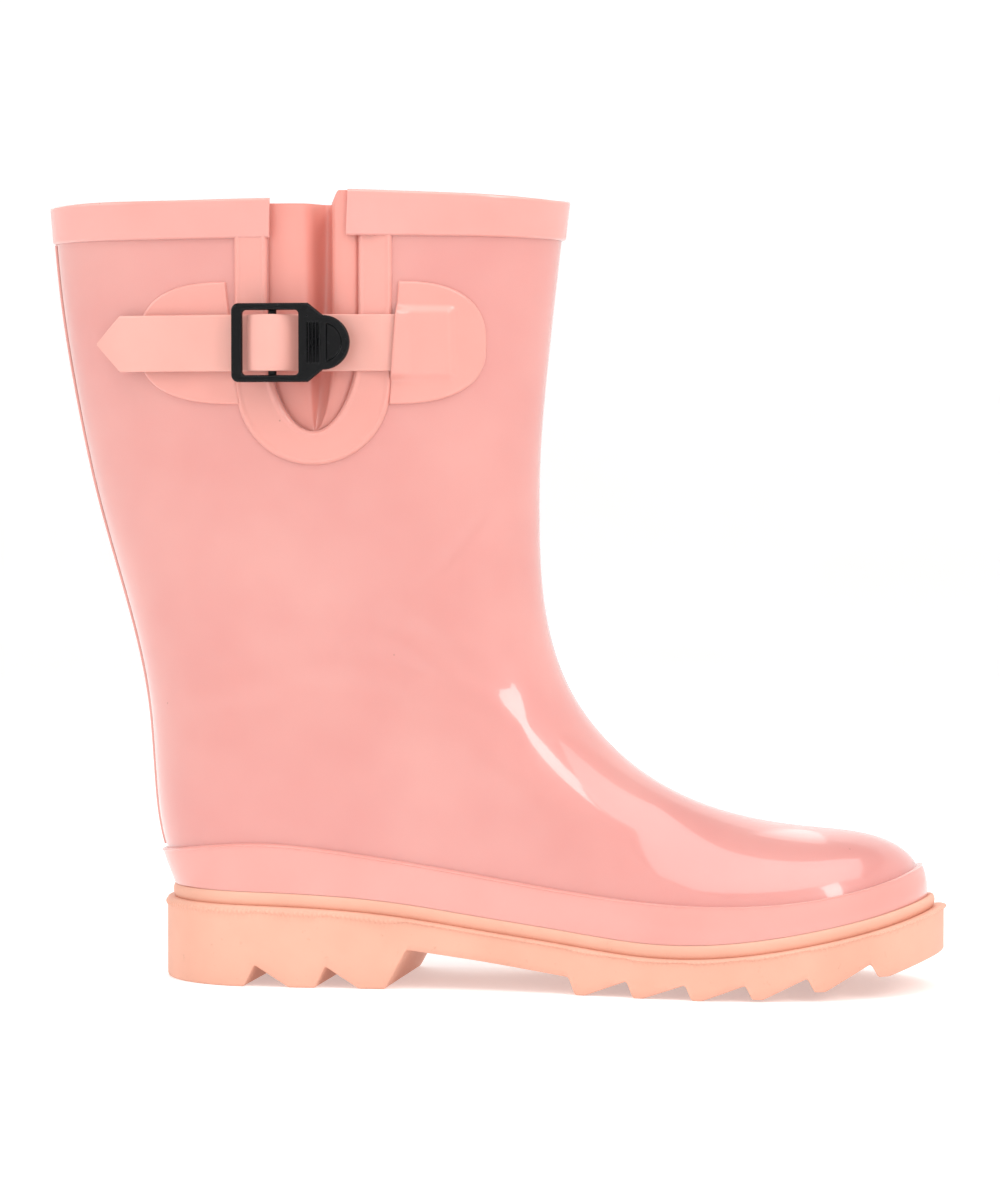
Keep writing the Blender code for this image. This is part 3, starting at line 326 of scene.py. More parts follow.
def rib_ends(shares):
    """Ends of each rib: share of the front line's length, and of the back line's or the bed's."""
    toe_x = TOE_TIP - TOE_ROUND * (1 - np.linspace(0.0, 1.0, 1500)[1:]) ** 2
    body = FRONT_LINE[FRONT_LINE[:, 0] < toe_x[0]]
    front = evenly(np.vstack([body, np.stack([toe_x, toe_top(toe_x)], axis=-1)]), 4000)
    bed = np.linspace(BACK_LINE[-1, 0], TOE_TIP, 1500)
    heel = evenly(BACK_LINE[BACK_LINE[:, 1] > bed_z(bed[0])], 3000)
    bed = np.stack([bed, bed_z(bed)], axis=-1)
    lines = (front, shares), (heel, shares / HEEL_SHARE), (bed, (shares - HEEL_SHARE) / (1 - HEEL_SHARE))
    ends = []
    for line, at in lines:
        places = np.linspace(0.0, 1.0, len(line))
        ends.append(np.stack([np.interp(at, places, line[:, k]) for k in (0, 1)], axis=-1))
    return ends[0], np.where((shares <= HEEL_SHARE)[:, None], ends[1], ends[2])


def rib_shares(start, upper, lower):
    foot = (1 - np.cos(np.linspace(0.0, math.pi, lower))) / 2
    return np.r_[np.linspace(start, HEEL_SHARE, upper), HEEL_SHARE + (1 - HEEL_SHARE) * foot[1:]]


def shell_grid(shares, across, offset=0.0):
    """Rib k, turn t from -1 to 1: front + (back - front) * (1 - cos(pi |t|)) / 2, put on the skin."""
    front, back = rib_ends(shares)
    turn = np.linspace(-1.0, 1.0, 2 * across + 1)
    part = (1 - np.cos(np.abs(turn) * math.pi)) / 2
    point = front[:, None] + (back - front)[:, None] * part[None, :, None]
    side = np.where(turn < 0, FLANK, INNER)
    depth = offset(point[..., 0], point[..., 1], side) if callable(offset) else offset
    grid = skin(point[..., 0], point[..., 1], side, depth)
    grid[..., 2] = np.maximum(grid[..., 2], bed_z(grid[..., 0]) + GAP)
    closed = shares <= HEEL_SHARE
    grid[closed, 0] = grid[closed, -1] = (grid[closed, 0] + grid[closed, -1]) / 2
    return grid


# %% [markdown]
# ## The slit and its cutter
# The shell is dipped whole and the slit is cut afterwards, with a U whose foot narrows. The same
# U is cut here with a prism, and the prism is taken away when the cut is done.

# %% Cutting the slit
SLIT_CENTRE, SLIT_HALF_WIDTH = 39.3 * MM, 16.4 * MM
SLIT_DEPTH, SLIT_TAPER = 81.4 * MM, 34.0 * MM
TRIM_WIDTH = 12.0 * MM


def slit_half(z, half, depth, taper, power, root):
    """Half-width of the U: half * (1 - below ** power) ** root, with below 0 on the legs, 1 at the foot."""
    below = np.clip((RIM_HEIGHT - depth + taper - z) / taper, 0.0, 1.0)
    return half * (1 - below ** power) ** root


def foot_shape(margin):
    return (1.9, 0.5) if margin < TRIM_WIDTH / 2 else (2.5, 0.5)


def cut_slit(obj, margin, count=60):
    """Cuts the U, widened by margin, through the outer side of obj."""
    depth, half, taper = SLIT_DEPTH + margin, SLIT_HALF_WIDTH + margin, SLIT_TAPER + margin
    z = RIM_HEIGHT - depth + (1 - np.cos(np.linspace(0.0, math.pi / 2, count))) * taper
    w = slit_half(z, half, depth, taper, *foot_shape(margin))
    top = RIM_HEIGHT + 20 * MM
    x = np.r_[SLIT_CENTRE - w[:0:-1], SLIT_CENTRE + w, SLIT_CENTRE + half, SLIT_CENTRE - half]
    z = np.r_[z[:0:-1], z, top, top]
    near, far = -SHAFT_HALF_WIDTH - 10 * MM, -SHAFT_HALF_WIDTH + 12 * MM
    rings = np.stack([np.stack([x, np.full_like(x, y), z], axis=-1) for y in (near, far)])
    size = len(x)
    faces = [list(range(size)), list(range(2 * size - 1, size - 1, -1))]
    faces += [[i, (i + 1) % size, (i + 1) % size + size, i + size] for i in range(size)]
    mesh = bpy.data.meshes.new("slit_cutter")
    mesh.from_pydata(rings.reshape(-1, 3).tolist(), [], faces)
    cutter = bpy.data.objects.new("slit_cutter", mesh)
    bpy.context.scene.collection.objects.link(cutter)
    modifier = obj.modifiers.new("Slit", "BOOLEAN")
    modifier.object, modifier.operation, modifier.solver = cutter, "DIFFERENCE", "EXACT"
    bpy.context.view_layer.update()
    cut = bpy.data.meshes.new_from_object(obj.evaluated_get(bpy.context.evaluated_depsgraph_get()))
    obj.modifiers.clear()
    obj.data = cut
    bpy.data.objects.remove(cutter)
    print(f"{obj.name}: slit cut, {len(cut.polygons)} faces")
    return obj


# %% [markdown]
# ## Upper shell
# Injection-moulded rubber is never quite true: the shaft sags a little, and the ankle keeps faint
# creases from being folded in its box. These are small offsets along the skin's normal, under a
# millimetre, and they are what breaks up a gloss highlight.

# %% Upper shell
SHELL_WALL = 2.0 * MM
CREASES = [((62, 119), (112, 84), 0.40, 3.4), ((52, 135), (104, 104), 0.28, 3.8),
           ((30, 106), (86, 96), 0.25, 4.4), ((-10, 92), (30, 99), 0.22, 4.2),
           ((111, 190), (78, 140), 0.60, 3.6)]
SHAFT_CREASE = 4  # this one is on the outer side only


def from_middle(x, z):
    """Distance from the lines where the two sides meet: the front, the back and the top of the foot."""
    waist = FRONT_LINE[int(np.argmin(FRONT_LINE[:, 0])), 1]
    over_foot = np.where(z < waist, toe_top(x) - z, 1.0)
    return np.minimum(np.minimum(front_x(z) - x, x - back_x(z)), over_foot)


def sag(x, z, side):
    """Slow waves of the moulded wall, which fade out at the sole."""
    wave = (np.sin(x / (19 * MM) + 1.3 * side) * np.sin(z / (31 * MM) + 0.7)
            + 0.6 * np.sin(x / (11 * MM) - z / (23 * MM) + 2.1 * side))
    return 0.22 * MM * wave * ramp(z - bed_z(x), 12 * MM, 50 * MM) * ramp(from_middle(x, z), 0.0, 14 * MM)


def creases(x, z, side):
    """Each crease: -depth * exp(-(distance / width)^2) across its line, faded at both ends."""
    depth = np.zeros(np.broadcast(x, z, side).shape)
    from_edge = ramp(front_x(z) - x, 2 * MM, 16 * MM)
    for number, ((x0, z0), (x1, z1), deep, wide) in enumerate(CREASES):
        run = np.array([x1 - x0, z1 - z0]) * MM
        length = np.hypot(*run)
        u = ((x - x0 * MM) * run[0] + (z - z0 * MM) * run[1]) / length ** 2
        v = ((z - z0 * MM) * run[0] - (x - x0 * MM) * run[1]) / length
        v = v - 3 * MM * np.sin(u * math.pi)
        groove = np.exp(-(v / (wide * MM)) ** 2) - 0.7 * np.exp(-((v - 2 * wide * MM) / (wide * MM)) ** 2)
        ends = ramp(u, -0.15, 0.25) * ramp(-u, -1.15, -0.7)
        here = np.where(side < 0, 1.0, 0.0) if number == SHAFT_CREASE else 1.0
        depth = depth - deep * MM * groove * ends * from_edge * here
    return depth


def shell_relief(x, z, side):
    return sag(x, z, side) + creases(x, z, side)


shares = rib_shares(0.0, 110, 120)
shell_outer = shell_grid(shares, 78, shell_relief)
shell_inner = shell_grid(shares, 78, lambda x, z, s: shell_relief(x, z, s) - SHELL_WALL)
shell = walled("shell_skin", shell_outer, shell_inner, open_rows=shares > HEEL_SHARE)
cut_slit(shell, 0.0)

# %% [markdown]
# ## Knit lining
# A jersey sock is glued inside before the sole goes on. It follows the shell at a small distance,
# and steps in over the stiffeners at heel and toe.

# %% Lining
FACET_GAP = 0.95 * MM
SOCK_GAP = 0.15 * MM
LINING_WALL, STIFFENER_WALL = 1.2 * MM, 1.0 * MM
COUNTER_END, COUNTER_TOP = along(17), 78 * MM


def lining_depth(x, z, side):
    """Shell's inner face less a small gap, and deeper over heel and toe stiffeners."""
    heel = ramp(-x, -COUNTER_END - 10 * MM, -COUNTER_END) * ramp(-z, -COUNTER_TOP - 10 * MM, -COUNTER_TOP)
    toe = ramp(x, along(57), along(63)) * ramp(-z, -80 * MM, -70 * MM)
    over = STIFFENER_WALL + 2 * FACET_GAP - SOCK_GAP
    return shell_relief(x, z, side) - SHELL_WALL - SOCK_GAP - over * np.maximum(heel, toe)


shares = rib_shares(0.008, 60, 60)
sock = walled("lining_knit", shell_grid(shares, 40, lining_depth),
              shell_grid(shares, 40, lambda x, z, s: lining_depth(x, z, s) - LINING_WALL),
              open_rows=shares > HEEL_SHARE)
cut_slit(sock, 12 * MM)

# %% [markdown]
# ## Folded gusset
# The panel behind the slit is softer rubber. It goes in from the rear edge, turns at a dark valley
# and comes back out in a pleat that stands proud of the leg and a few millimetres above the rim.
# A curve through a few places across the slit gives that fold, and it dies away towards the foot.

# %% Gusset
GUSSET_WALL, GUSSET_FLANGE = 1.2 * MM, 8.0 * MM
FOLD = [(-0.25, 3.0), (0.0, 2.7), (0.18, 2.4), (0.34, 3.6), (0.46, 8.5), (0.58, 15.5), (0.655, 13.0),
        (0.69, 4.0), (0.72, 0.2), (0.78, -1.6), (0.90, -1.7), (1.00, 0.6), (1.08, 2.8), (1.25, 3.0)]
PLEAT_RISE = 3.2 * MM


def gusset_grid(rows, columns, wall):
    """Place s across the slit and r down it; y = flank + fold(s) * fade(r) inwards."""
    fold = smooth_line([(s * 20, d) for s, d in FOLD])
    s = np.linspace(-0.25, 1.25, columns)[None, :]
    inward = np.interp(s * 20, fold[:, 0], fold[:, 1]) * MM
    pleat = ramp(s, 0.70, 0.80) * ramp(-s, -1.06, -0.94)
    foot = RIM_HEIGHT - SLIT_DEPTH - 0.7 * GUSSET_FLANGE
    r = np.linspace(0.0, 1.0, rows)[:, None]
    top = RIM_HEIGHT - 1.0 * MM + (PLEAT_RISE + 1.0 * MM) * pleat
    z = top + (foot - top) * r
    half = slit_half(np.minimum(z, RIM_HEIGHT), SLIT_HALF_WIDTH, SLIT_DEPTH, SLIT_TAPER, *foot_shape(0))
    half = np.maximum(half, 0.6 * MM)
    inside = np.clip(s, 0.0, 1.0)
    x = SLIT_CENTRE + half * (2 * inside - 1) + (s - inside) * 4 * GUSSET_FLANGE
    fade = np.clip((z - (RIM_HEIGHT - SLIT_DEPTH)) / SLIT_DEPTH, 0.0, 1.0) ** 0.6
    rest = 2.95 * MM
    depth = rest + (inward - rest) * fade
    base = skin(x, np.minimum(z, RIM_HEIGHT), FLANK, 0.0)
    base[..., 2] = z
    return base + np.stack([0 * depth, depth + wall, 0 * depth], axis=-1)


gusset = walled("gusset_panel", gusset_grid(140, 240, 0.0), gusset_grid(140, 240, GUSSET_WALL))

# %% [markdown]
# ## Bands and trims
# Each band lies on the skin with a rounded edge. Its profile is a short list of (place, height)
# pairs: heights rise from nothing at an edge to the wall within about half a millimetre.

# %% Cuff, stay, foxing and trim
CUFF_HEIGHT, CUFF_WALL = 13.5 * MM, 1.4 * MM
CUFF_Z = RIM_HEIGHT - CUFF_HEIGHT
FOXING_WALL, STAY_WALL, STAY_HALF_WIDTH = 1.7 * MM, 0.8 * MM, 5.5 * MM
TRIM_WALL = 1.0 * MM


def rounded_profile(count, edge):
    """Places 0..1 across a band, and share of its wall there: a quarter circle in from each end."""
    place = (1 - np.cos(np.linspace(0.0, math.pi, count))) / 2
    near = np.clip(np.minimum(place, 1 - place) / edge, 0.0, 1.0)
    return place, np.sqrt(np.clip(1 - (1 - near) ** 2, 0.0, 1.0))


def relief_at(x, z, side):
    return shell_relief(x, z, side)


def ring_place(turn, z):
    """Place round a ring: x swings by cosine between front and back, side by sine."""
    front, back = front_x(z), back_x(z)
    return front - (front - back) * (1 - np.cos(turn)) / 2, np.where(np.sin(turn) < 0, FLANK, INNER)


def ring_turn(x, z):
    """Turn at which a ring at height z reaches x: the inverse of ring_place."""
    front, back = float(front_x(z)), float(back_x(z))
    return math.acos(1 - 2 * (front - x) / (front - back))


def cuff_grid(count, rows, height):
    """From the slit's front edge round the front, the inner side and the back to its rear edge."""
    edges = [ring_turn(SLIT_CENTRE + s * SLIT_HALF_WIDTH, RIM_HEIGHT) for s in (0.80, -0.94)]
    turn = np.linspace(-edges[0], 2 * math.pi - edges[1], count)[None, :]
    place, wall = rounded_profile(rows, 0.07)
    wobble = 0.35 * MM * np.sin(3 * turn + 0.6) + 0.2 * MM * np.sin(7 * turn)
    wobble = wobble + PLEAT_RISE * np.exp(-((turn + edges[0]) / 0.75) ** 2)
    top, bottom = RIM_HEIGHT + 0.4 * MM + wobble, CUFF_Z + 0.25 * wobble
    z = top + (bottom - top) * place[:, None]
    x, side = ring_place(turn, np.minimum(z, RIM_HEIGHT))
    over_pleat = 1.8 * MM * ramp(-np.abs(turn + edges[0]), -0.22, -0.04)
    lift = 0.05 * MM + height * wall[:, None] * CUFF_WALL + relief_at(x, z, side) + over_pleat
    grid = skin(x, np.minimum(z, RIM_HEIGHT), side, lift)
    grid[..., 2] = z
    return grid


cuff = walled("cuff_rolled_band", cuff_grid(700, 26, 1.0), cuff_grid(700, 26, 0.0))


def stay_grid(rows, columns, height):
    """Strip down the back line, of even width, raised less two moulded grooves."""
    low = float(read_line(FOXING_LINE, back_x(50 * MM))) + 1.0 * MM
    z = np.linspace(CUFF_Z - 0.2 * MM, low, rows)[:, None]
    place, wall = rounded_profile(columns, 0.07)
    lines = sum(0.30 * np.exp(-((place - p) / 0.022) ** 2) for p in (0.2, 0.8))
    y = ((2 * place - 1) * STAY_HALF_WIDTH)[None, :]
    back_round = HEEL_BACK_ROUND + (SHAFT_BACK_ROUND - HEEL_BACK_ROUND) * ramp(z, 60 * MM, up_shaft(0.6))
    x = back_x(z) + back_round * (1 - np.sqrt(1 - (y / half_width(back_x(z), z)) ** 2))
    side = np.where(y < 0, FLANK, INNER)
    lift = 0.05 * MM + height * (wall - lines)[None, :] * STAY_WALL + relief_at(x, z, side)
    return skin(x, z, side, lift)


stay = walled("back_stay_strip", stay_grid(300, 31, 1.0), stay_grid(300, 31, 0.0))


def foxing_grid(count, rows, height):
    """Ring round the foot, each row ending where squared_width(x, z) is nought; its top edge is a bead."""
    turn = np.linspace(0.0, 2 * math.pi, count, endpoint=False)[None, :]
    place = np.r_[np.linspace(0.0, 0.86, rows - 12), np.linspace(0.88, 1.0, 12)]
    wall = 1 + 0.25 * np.exp(-((place - 0.955) / 0.02) ** 2)
    wall = wall * np.sqrt(np.clip(1 - np.clip((place - 0.955) / 0.045, 0.0, 1.0) ** 2, 0.0, 1.0))

    def row_z(x):
        low = bed_z(x) + 0.1 * MM
        return low + (read_line(FOXING_LINE, x) - low) * place[:, None]

    tries = np.linspace(TOE_TIP - TOE_ROUND / 2, TOE_TIP, 6000)[None, :]
    front = (TOE_TIP - TOE_ROUND / 2) + (squared_width(tries, row_z(tries)) > 0).mean(axis=1) * TOE_ROUND / 2
    back = np.full((rows, 1), BACK_LINE[-1, 0])
    for _ in range(8):  # height depends on x and the heel's x on the height: settles to both
        back = back_x(row_z(back))
    x = back + (front[:, None] - back) * (1 - np.cos(turn)) / 2
    z = row_z(x)
    side = np.where(np.sin(turn) < 0, FLANK, INNER)
    lift = 0.05 * MM + height * wall[:, None] * FOXING_WALL + relief_at(x, z, side)
    grid = skin(x, z, side, lift)
    grid[..., 2] = np.maximum(grid[..., 2], bed_z(grid[..., 0]) + 0.1 * MM)
    return grid


foxing = walled("foxing_band", foxing_grid(900, 34, 1.0), foxing_grid(900, 34, 0.0), wrap=True)


def trim_grid(count, columns, height):
    """U of even width: a leg down, the foot and a leg up; raised beads run along both edges."""
    place, wall = rounded_profile(columns, 0.08)
    beads = 0.45 * (np.exp(-((place - 0.10) / 0.05) ** 2) + np.exp(-((place - 0.90) / 0.05) ** 2))
    share = np.linspace(0.0, 1.0, count)
    sides = []
    for margin in (0.1 * MM, TRIM_WIDTH):
        foot = RIM_HEIGHT - SLIT_DEPTH - margin
        legs = foot + (CUFF_Z + 1.2 * MM - foot) * (1 - share) ** 2
        w = slit_half(legs, SLIT_HALF_WIDTH + margin, SLIT_DEPTH + margin, SLIT_TAPER, *foot_shape(margin))
        sides.append((np.r_[SLIT_CENTRE - w, SLIT_CENTRE + w[-2::-1]], np.r_[legs, legs[-2::-1]]))
    x = sides[0][0] + (sides[1][0] - sides[0][0]) * place[:, None]
    z = sides[0][1] + (sides[1][1] - sides[0][1]) * place[:, None]
    lift = 0.05 * MM + height * (wall * (1 + beads))[:, None] * TRIM_WALL + relief_at(x, z, FLANK)
    return skin(x, z, FLANK, lift)


trim = walled("gusset_trim_binding", trim_grid(260, 36, 1.0), trim_grid(260, 36, 0.0))

# %% [markdown]
# ## Patches
# The two D-shaped patches hold the strap. The front one is pressed down over the strap's end, so
# the end shows as a soft step through it; the rear one lies flat under the strap's free tail.

# %% Patches
STRAP_Z = RIM_HEIGHT - 50.4 * MM
STRAP_HEIGHT, STRAP_WALL, STRAP_TONGUE, STRAP_DROP = 20 * MM, 1.2 * MM, 18 * MM, 5 * MM
PATCH_HEIGHT, PATCH_WALL = 43.4 * MM, 1.4 * MM
TRIM_TOP = GAP + TRIM_WALL
TRIM_EDGE = SLIT_CENTRE + SLIT_HALF_WIDTH + TRIM_WIDTH + 0.4 * MM


def strap_rise(x, z):
    """How far the strap's end lifts the patch: product of soft steps across and along it."""
    side = ramp(STRAP_HEIGHT / 2 + 3.8 * MM - np.abs(z - STRAP_Z), 0.0, 3.6 * MM)
    ahead = ramp(TRIM_EDGE + STRAP_TONGUE + 4.2 * MM - x, 0.0, 4.0 * MM)
    step = ramp(TRIM_EDGE + STRAP_DROP + 2.0 * MM - x, 0.0, STRAP_DROP + 2.0 * MM)
    return side * ahead * (GAP + STRAP_WALL + step * (TRIM_TOP + 0.6 * MM))


def patch_grid(straight, length, rise, height, slant, columns=130, rows=110, power=2.6):
    """Superellipse half: |dx/length|^p + |dz/high|^p = 1; slant leans its straight edge along the trim."""
    u = np.sin(np.linspace(0.0, 0.999, columns) * math.pi / 2)[None, :]
    x = straight + length * u
    v = np.sin(np.linspace(-1.0, 1.0, rows) * math.pi / 2)[:, None]
    high = PATCH_HEIGHT / 2 * (1 - u ** power) ** (1 / power)
    z = STRAP_Z + high * v
    x = np.broadcast_to(x, z.shape)
    level = (u ** power + np.abs((z - STRAP_Z) / (PATCH_HEIGHT / 2)) ** power) ** (1 / power)
    inset = np.minimum((1 - level) * PATCH_HEIGHT / 2, np.abs(x - straight))
    near = np.clip(inset / (0.9 * MM), 0.0, 1.0)
    wall = np.sqrt(np.clip(1 - (1 - near) ** 2, 0.0, 1.0)) * PATCH_WALL
    x = x + slant * (STRAP_Z - z) * (1 - u)
    lift = rise(x, z) if rise else 0.0
    return skin(x, z, FLANK, 0.05 * MM + lift + height * wall + relief_at(x, z, FLANK))


rear_straight = SLIT_CENTRE - SLIT_HALF_WIDTH - TRIM_WIDTH - 0.4 * MM
rear_patch = walled("rear_patch_pad", patch_grid(rear_straight, -36 * MM, None, 1.0, 0.12),
                    patch_grid(rear_straight, -36 * MM, None, 0.0, 0.12))
front_patch = walled("front_patch_pad", patch_grid(TRIM_EDGE, 31.5 * MM, strap_rise, 1.0, -0.08),
                     patch_grid(TRIM_EDGE, 31.5 * MM, strap_rise, 0.0, -0.08))

# %% [markdown]
# ## Strap, free tail and anchor loop
# All three are strips cut from one calendered sheet, so they share a section: a flat bar with
# rounded edges. The section is swept along a path seen from above. The strap climbs off the trim,
# arches over the buckle's middle bar and curls down behind it; the tail lies over the rear patch.

# %% Strips swept along a path
BAR_X, BAR_STAND_OFF, BAR_RADIUS, BAR_SINK = SLIT_CENTRE - 13.3 * MM, 6.0 * MM, 1.5 * MM, 2.9 * MM
BAR_Y = -SHAFT_HALF_WIDTH - BAR_STAND_OFF
LOOP_WALL = 0.9 * MM
LOOP_OUTER = BAR_RADIUS + GAP + LOOP_WALL
WINDOW_LENGTH, BAR_WIDTH = 20.3 * MM, 3.9 * MM
FRAME_LEFT = BAR_X - WINDOW_LENGTH / 2 - BAR_WIDTH
FRAME_RIGHT = BAR_X + WINDOW_LENGTH / 2 + BAR_WIDTH
TAIL_OFF = GAP + PATCH_WALL + GAP + LOOP_WALL + GAP


def bar_section(high, wall, edge, steps=9):
    """Closed section (height, thickness) of a flat bar, with its four edges turned at radius edge."""
    corners = []
    for sign_h, sign_t, start in ((1, 1, 0.0), (-1, 1, 90.0), (-1, -1, 180.0), (1, -1, 270.0)):
        turn = np.radians(start + np.linspace(0.0, 90.0, steps))
        corners.append(np.stack([sign_h * (high - edge) + edge * np.cos(turn),
                                 sign_t * (wall / 2 - edge) + edge * np.sin(turn)], axis=-1))
    flat = np.vstack(corners)
    closed = np.vstack([flat, flat[:1]])
    return evenly(closed, 97)[:-1]


def strip(name, path, highs, wall, edge=0.45 * MM):
    """Point = path + thickness * normal, at height z0 + h; the ends shrink into rounded caps."""
    path = evenly(np.asarray(path), 320)
    highs = np.interp(np.linspace(0, 1, 320), np.linspace(0, 1, len(highs)), highs)
    slope = np.gradient(path, axis=0)
    slope /= np.linalg.norm(slope, axis=1, keepdims=True)
    normal = np.stack([-slope[:, 1], slope[:, 0]], axis=-1)
    section = bar_section(STRAP_HEIGHT / 2, wall, edge)
    scale = highs / (STRAP_HEIGHT / 2)
    grid = np.empty((len(path), len(section), 3))
    grid[..., :2] = path[:, None] + normal[:, None] * section[None, :, 1:2]
    grid[..., 2] = STRAP_Z + section[None, :, 0] * scale[:, None]
    caps = []
    for end, nearest in ((0, slope[0] * -1), (-1, slope[-1])):
        ring = grid[end]
        steps = []
        for a in np.radians([25.0, 50.0, 70.0, 84.0]):
            inner = ring.copy()
            inner[:, :2] = path[end] + (ring[:, :2] - path[end]) * math.cos(a)
            inner[:, 2] = STRAP_Z + (ring[:, 2] - STRAP_Z) * (1 - 0.05 * (1 - math.cos(a)))
            inner[:, :2] += nearest * edge * math.sin(a)
            steps.append(inner)
        last = steps[-1].copy()
        last[:, :2] = path[end] + nearest * edge
        steps.append(last)
        caps.append(np.stack(steps))
    grid = np.concatenate([caps[0][::-1], grid, caps[1]])
    middle = np.repeat(grid[:1].mean(axis=1, keepdims=True), grid.shape[1], axis=1)
    tip = np.repeat(grid[-1:].mean(axis=1, keepdims=True), grid.shape[1], axis=1)
    return tube_grid(name, np.concatenate([middle, grid, tip]))


half_wall = STRAP_WALL / 2
crest = BAR_STAND_OFF + LOOP_OUTER + GAP + half_wall
lying = TRIM_TOP + GAP + half_wall
arch = smooth_line([
    (BAR_X - 8.6 * MM, TAIL_OFF + STRAP_WALL + GAP + half_wall + 0.6 * MM),
    (BAR_X - 7.4 * MM, crest - 1.7 * MM), (BAR_X - 4.6 * MM, crest - 0.2 * MM), (BAR_X, crest + 0.4 * MM),
    (BAR_X + 4.4 * MM, crest - 1.6 * MM), (BAR_X + 9.0 * MM, lying + 1.8 * MM),
    (BAR_X + 13.0 * MM, lying + 0.3 * MM), (BAR_X + 16.0 * MM, lying), (TRIM_EDGE - 4 * MM, lying)], 200)
arch = np.stack([arch[:, 0], -SHAFT_HALF_WIDTH - arch[:, 1]], axis=-1)
under_x = np.linspace(TRIM_EDGE, TRIM_EDGE + STRAP_TONGUE, 40)
under = skin(under_x, STRAP_Z, FLANK, GAP + half_wall)[:, :2]
under[:, 1] -= TRIM_TOP * (1 - ramp(under_x, TRIM_EDGE, TRIM_EDGE + STRAP_DROP))
strap = strip("strap_band", np.vstack([arch, under]), [STRAP_HEIGHT / 2] * 2, STRAP_WALL)

TAIL_REACH, TAIL_POINT = 56 * MM, 10 * MM
tail_start = FRAME_LEFT + BAR_WIDTH + 6.9 * MM
tail_tip = tail_start - 6 * MM - TAIL_REACH
tail_x = np.linspace(tail_start, tail_tip, 200)
tail_path = skin(tail_x, STRAP_Z, FLANK, TAIL_OFF + half_wall)[:, :2]
tail_high = np.minimum(STRAP_HEIGHT / 2, 0.5 * MM + (tail_x - tail_tip) * (STRAP_HEIGHT / 2 / TAIL_POINT))
tail = strip("strap_free_tail", tail_path, tail_high, STRAP_WALL)

radius = BAR_RADIUS + GAP + LOOP_WALL / 2
turn = np.radians(np.linspace(-90.0, 200.0, 90))
wrap = np.stack([BAR_X + radius * np.cos(turn), BAR_Y - radius * np.sin(turn)], axis=-1)
leg_y = -SHAFT_HALF_WIDTH - (GAP + PATCH_WALL + GAP) - LOOP_WALL / 2
leg = [(FRAME_LEFT - 3 * MM, leg_y), (FRAME_LEFT + 2 * MM, leg_y), (BAR_X - LOOP_OUTER - GAP, leg_y)]
loop = strip("bar_loop_strip", np.vstack([leg, wrap]), [STRAP_HEIGHT / 2 - 0.6 * MM] * 2, LOOP_WALL, 0.3 * MM)

# %% [markdown]
# ## Buckle
# One injection-moulded frame: a window with a round bar sunk behind it, a ribbed strip and a thumb
# tab with a shallow recess. Its face is a grid between two closed outlines, the window's and the
# frame's, both read as radius against angle from the window's centre.

# %% Buckle
RAIL_HEIGHT, FRAME_THICKNESS, TAB_LENGTH = 2.5 * MM, 2.6 * MM, 14.4 * MM
WINDOW_HIGH = STRAP_HEIGHT / 2 + 1.4 * MM


def polar_outline(points, count):
    """Radius at even angles of a closed outline that the centre (BAR_X, STRAP_Z) sees all round."""
    points = np.asarray(points) - (BAR_X, STRAP_Z)
    nxt = np.roll(points, -1, axis=0)
    steps = np.linspace(0.0, 1.0, 60, endpoint=False)[None, :, None]
    dense = (points[:, None] * (1 - steps) + nxt[:, None] * steps).reshape(-1, 2)
    angle = np.arctan2(dense[:, 1], dense[:, 0])
    order = np.argsort(angle)
    angle, length = angle[order], np.hypot(*dense[order].T)
    at = np.linspace(-math.pi, math.pi, count, endpoint=False)
    return at, np.interp(at, np.r_[angle - 2 * math.pi, angle, angle + 2 * math.pi], np.tile(length, 3))


def corner_arc(x, z, radius, start, end, count=12):
    a = np.radians(np.linspace(start, end, count))
    return np.stack([x + radius * np.cos(a), z + radius * np.sin(a)], axis=-1)


def window_outline():
    r, left, right = 1.4 * MM, BAR_X - WINDOW_LENGTH / 2, BAR_X + WINDOW_LENGTH / 2
    low, high = STRAP_Z - WINDOW_HIGH, STRAP_Z + WINDOW_HIGH
    return np.vstack([corner_arc(right - r, high - r, r, 0, 90), corner_arc(left + r, high - r, r, 90, 180),
                      corner_arc(left + r, low + r, r, 180, 270),
                      corner_arc(right - r, low + r, r, 270, 360)])


def frame_outline():
    half, neck, r = WINDOW_HIGH + RAIL_HEIGHT, STRAP_HEIGHT / 2 - 0.4 * MM, 2.6 * MM
    shoulder = FRAME_RIGHT - 0.6 * MM
    tab = corner_arc(FRAME_RIGHT + TAB_LENGTH - neck, STRAP_Z, neck, -90, 90, 60)
    return np.vstack([[(shoulder, STRAP_Z - half)], tab, [(shoulder, STRAP_Z + half)],
                      corner_arc(FRAME_LEFT + r, STRAP_Z + half - r, r, 90, 180),
                      corner_arc(FRAME_LEFT + r, STRAP_Z - half + r, r, 180, 270)])


def tab_detail(x, z):
    """Ribs between window and tab, and the recess: a disc cut off straight on its left."""
    rib = np.cos((x - FRAME_RIGHT) * 2 * math.pi / (1.25 * MM))
    band = ramp(x, FRAME_RIGHT - 1.2 * MM, FRAME_RIGHT - 0.6 * MM)
    band = band * ramp(-x, -FRAME_RIGHT - 4.6 * MM, -FRAME_RIGHT - 4.0 * MM)
    band = band * ramp(7.6 * MM - np.abs(z - STRAP_Z), 0.0, 0.8 * MM)
    centre = FRAME_RIGHT + TAB_LENGTH - STRAP_HEIGHT / 2 + 0.4 * MM
    disc = 7.2 * MM - np.hypot(x - centre, z - STRAP_Z)
    recess = ramp(np.minimum(disc, x - FRAME_RIGHT - 5.8 * MM), 0.0, 0.9 * MM)
    return 0.30 * MM * rib * band - 0.95 * MM * recess


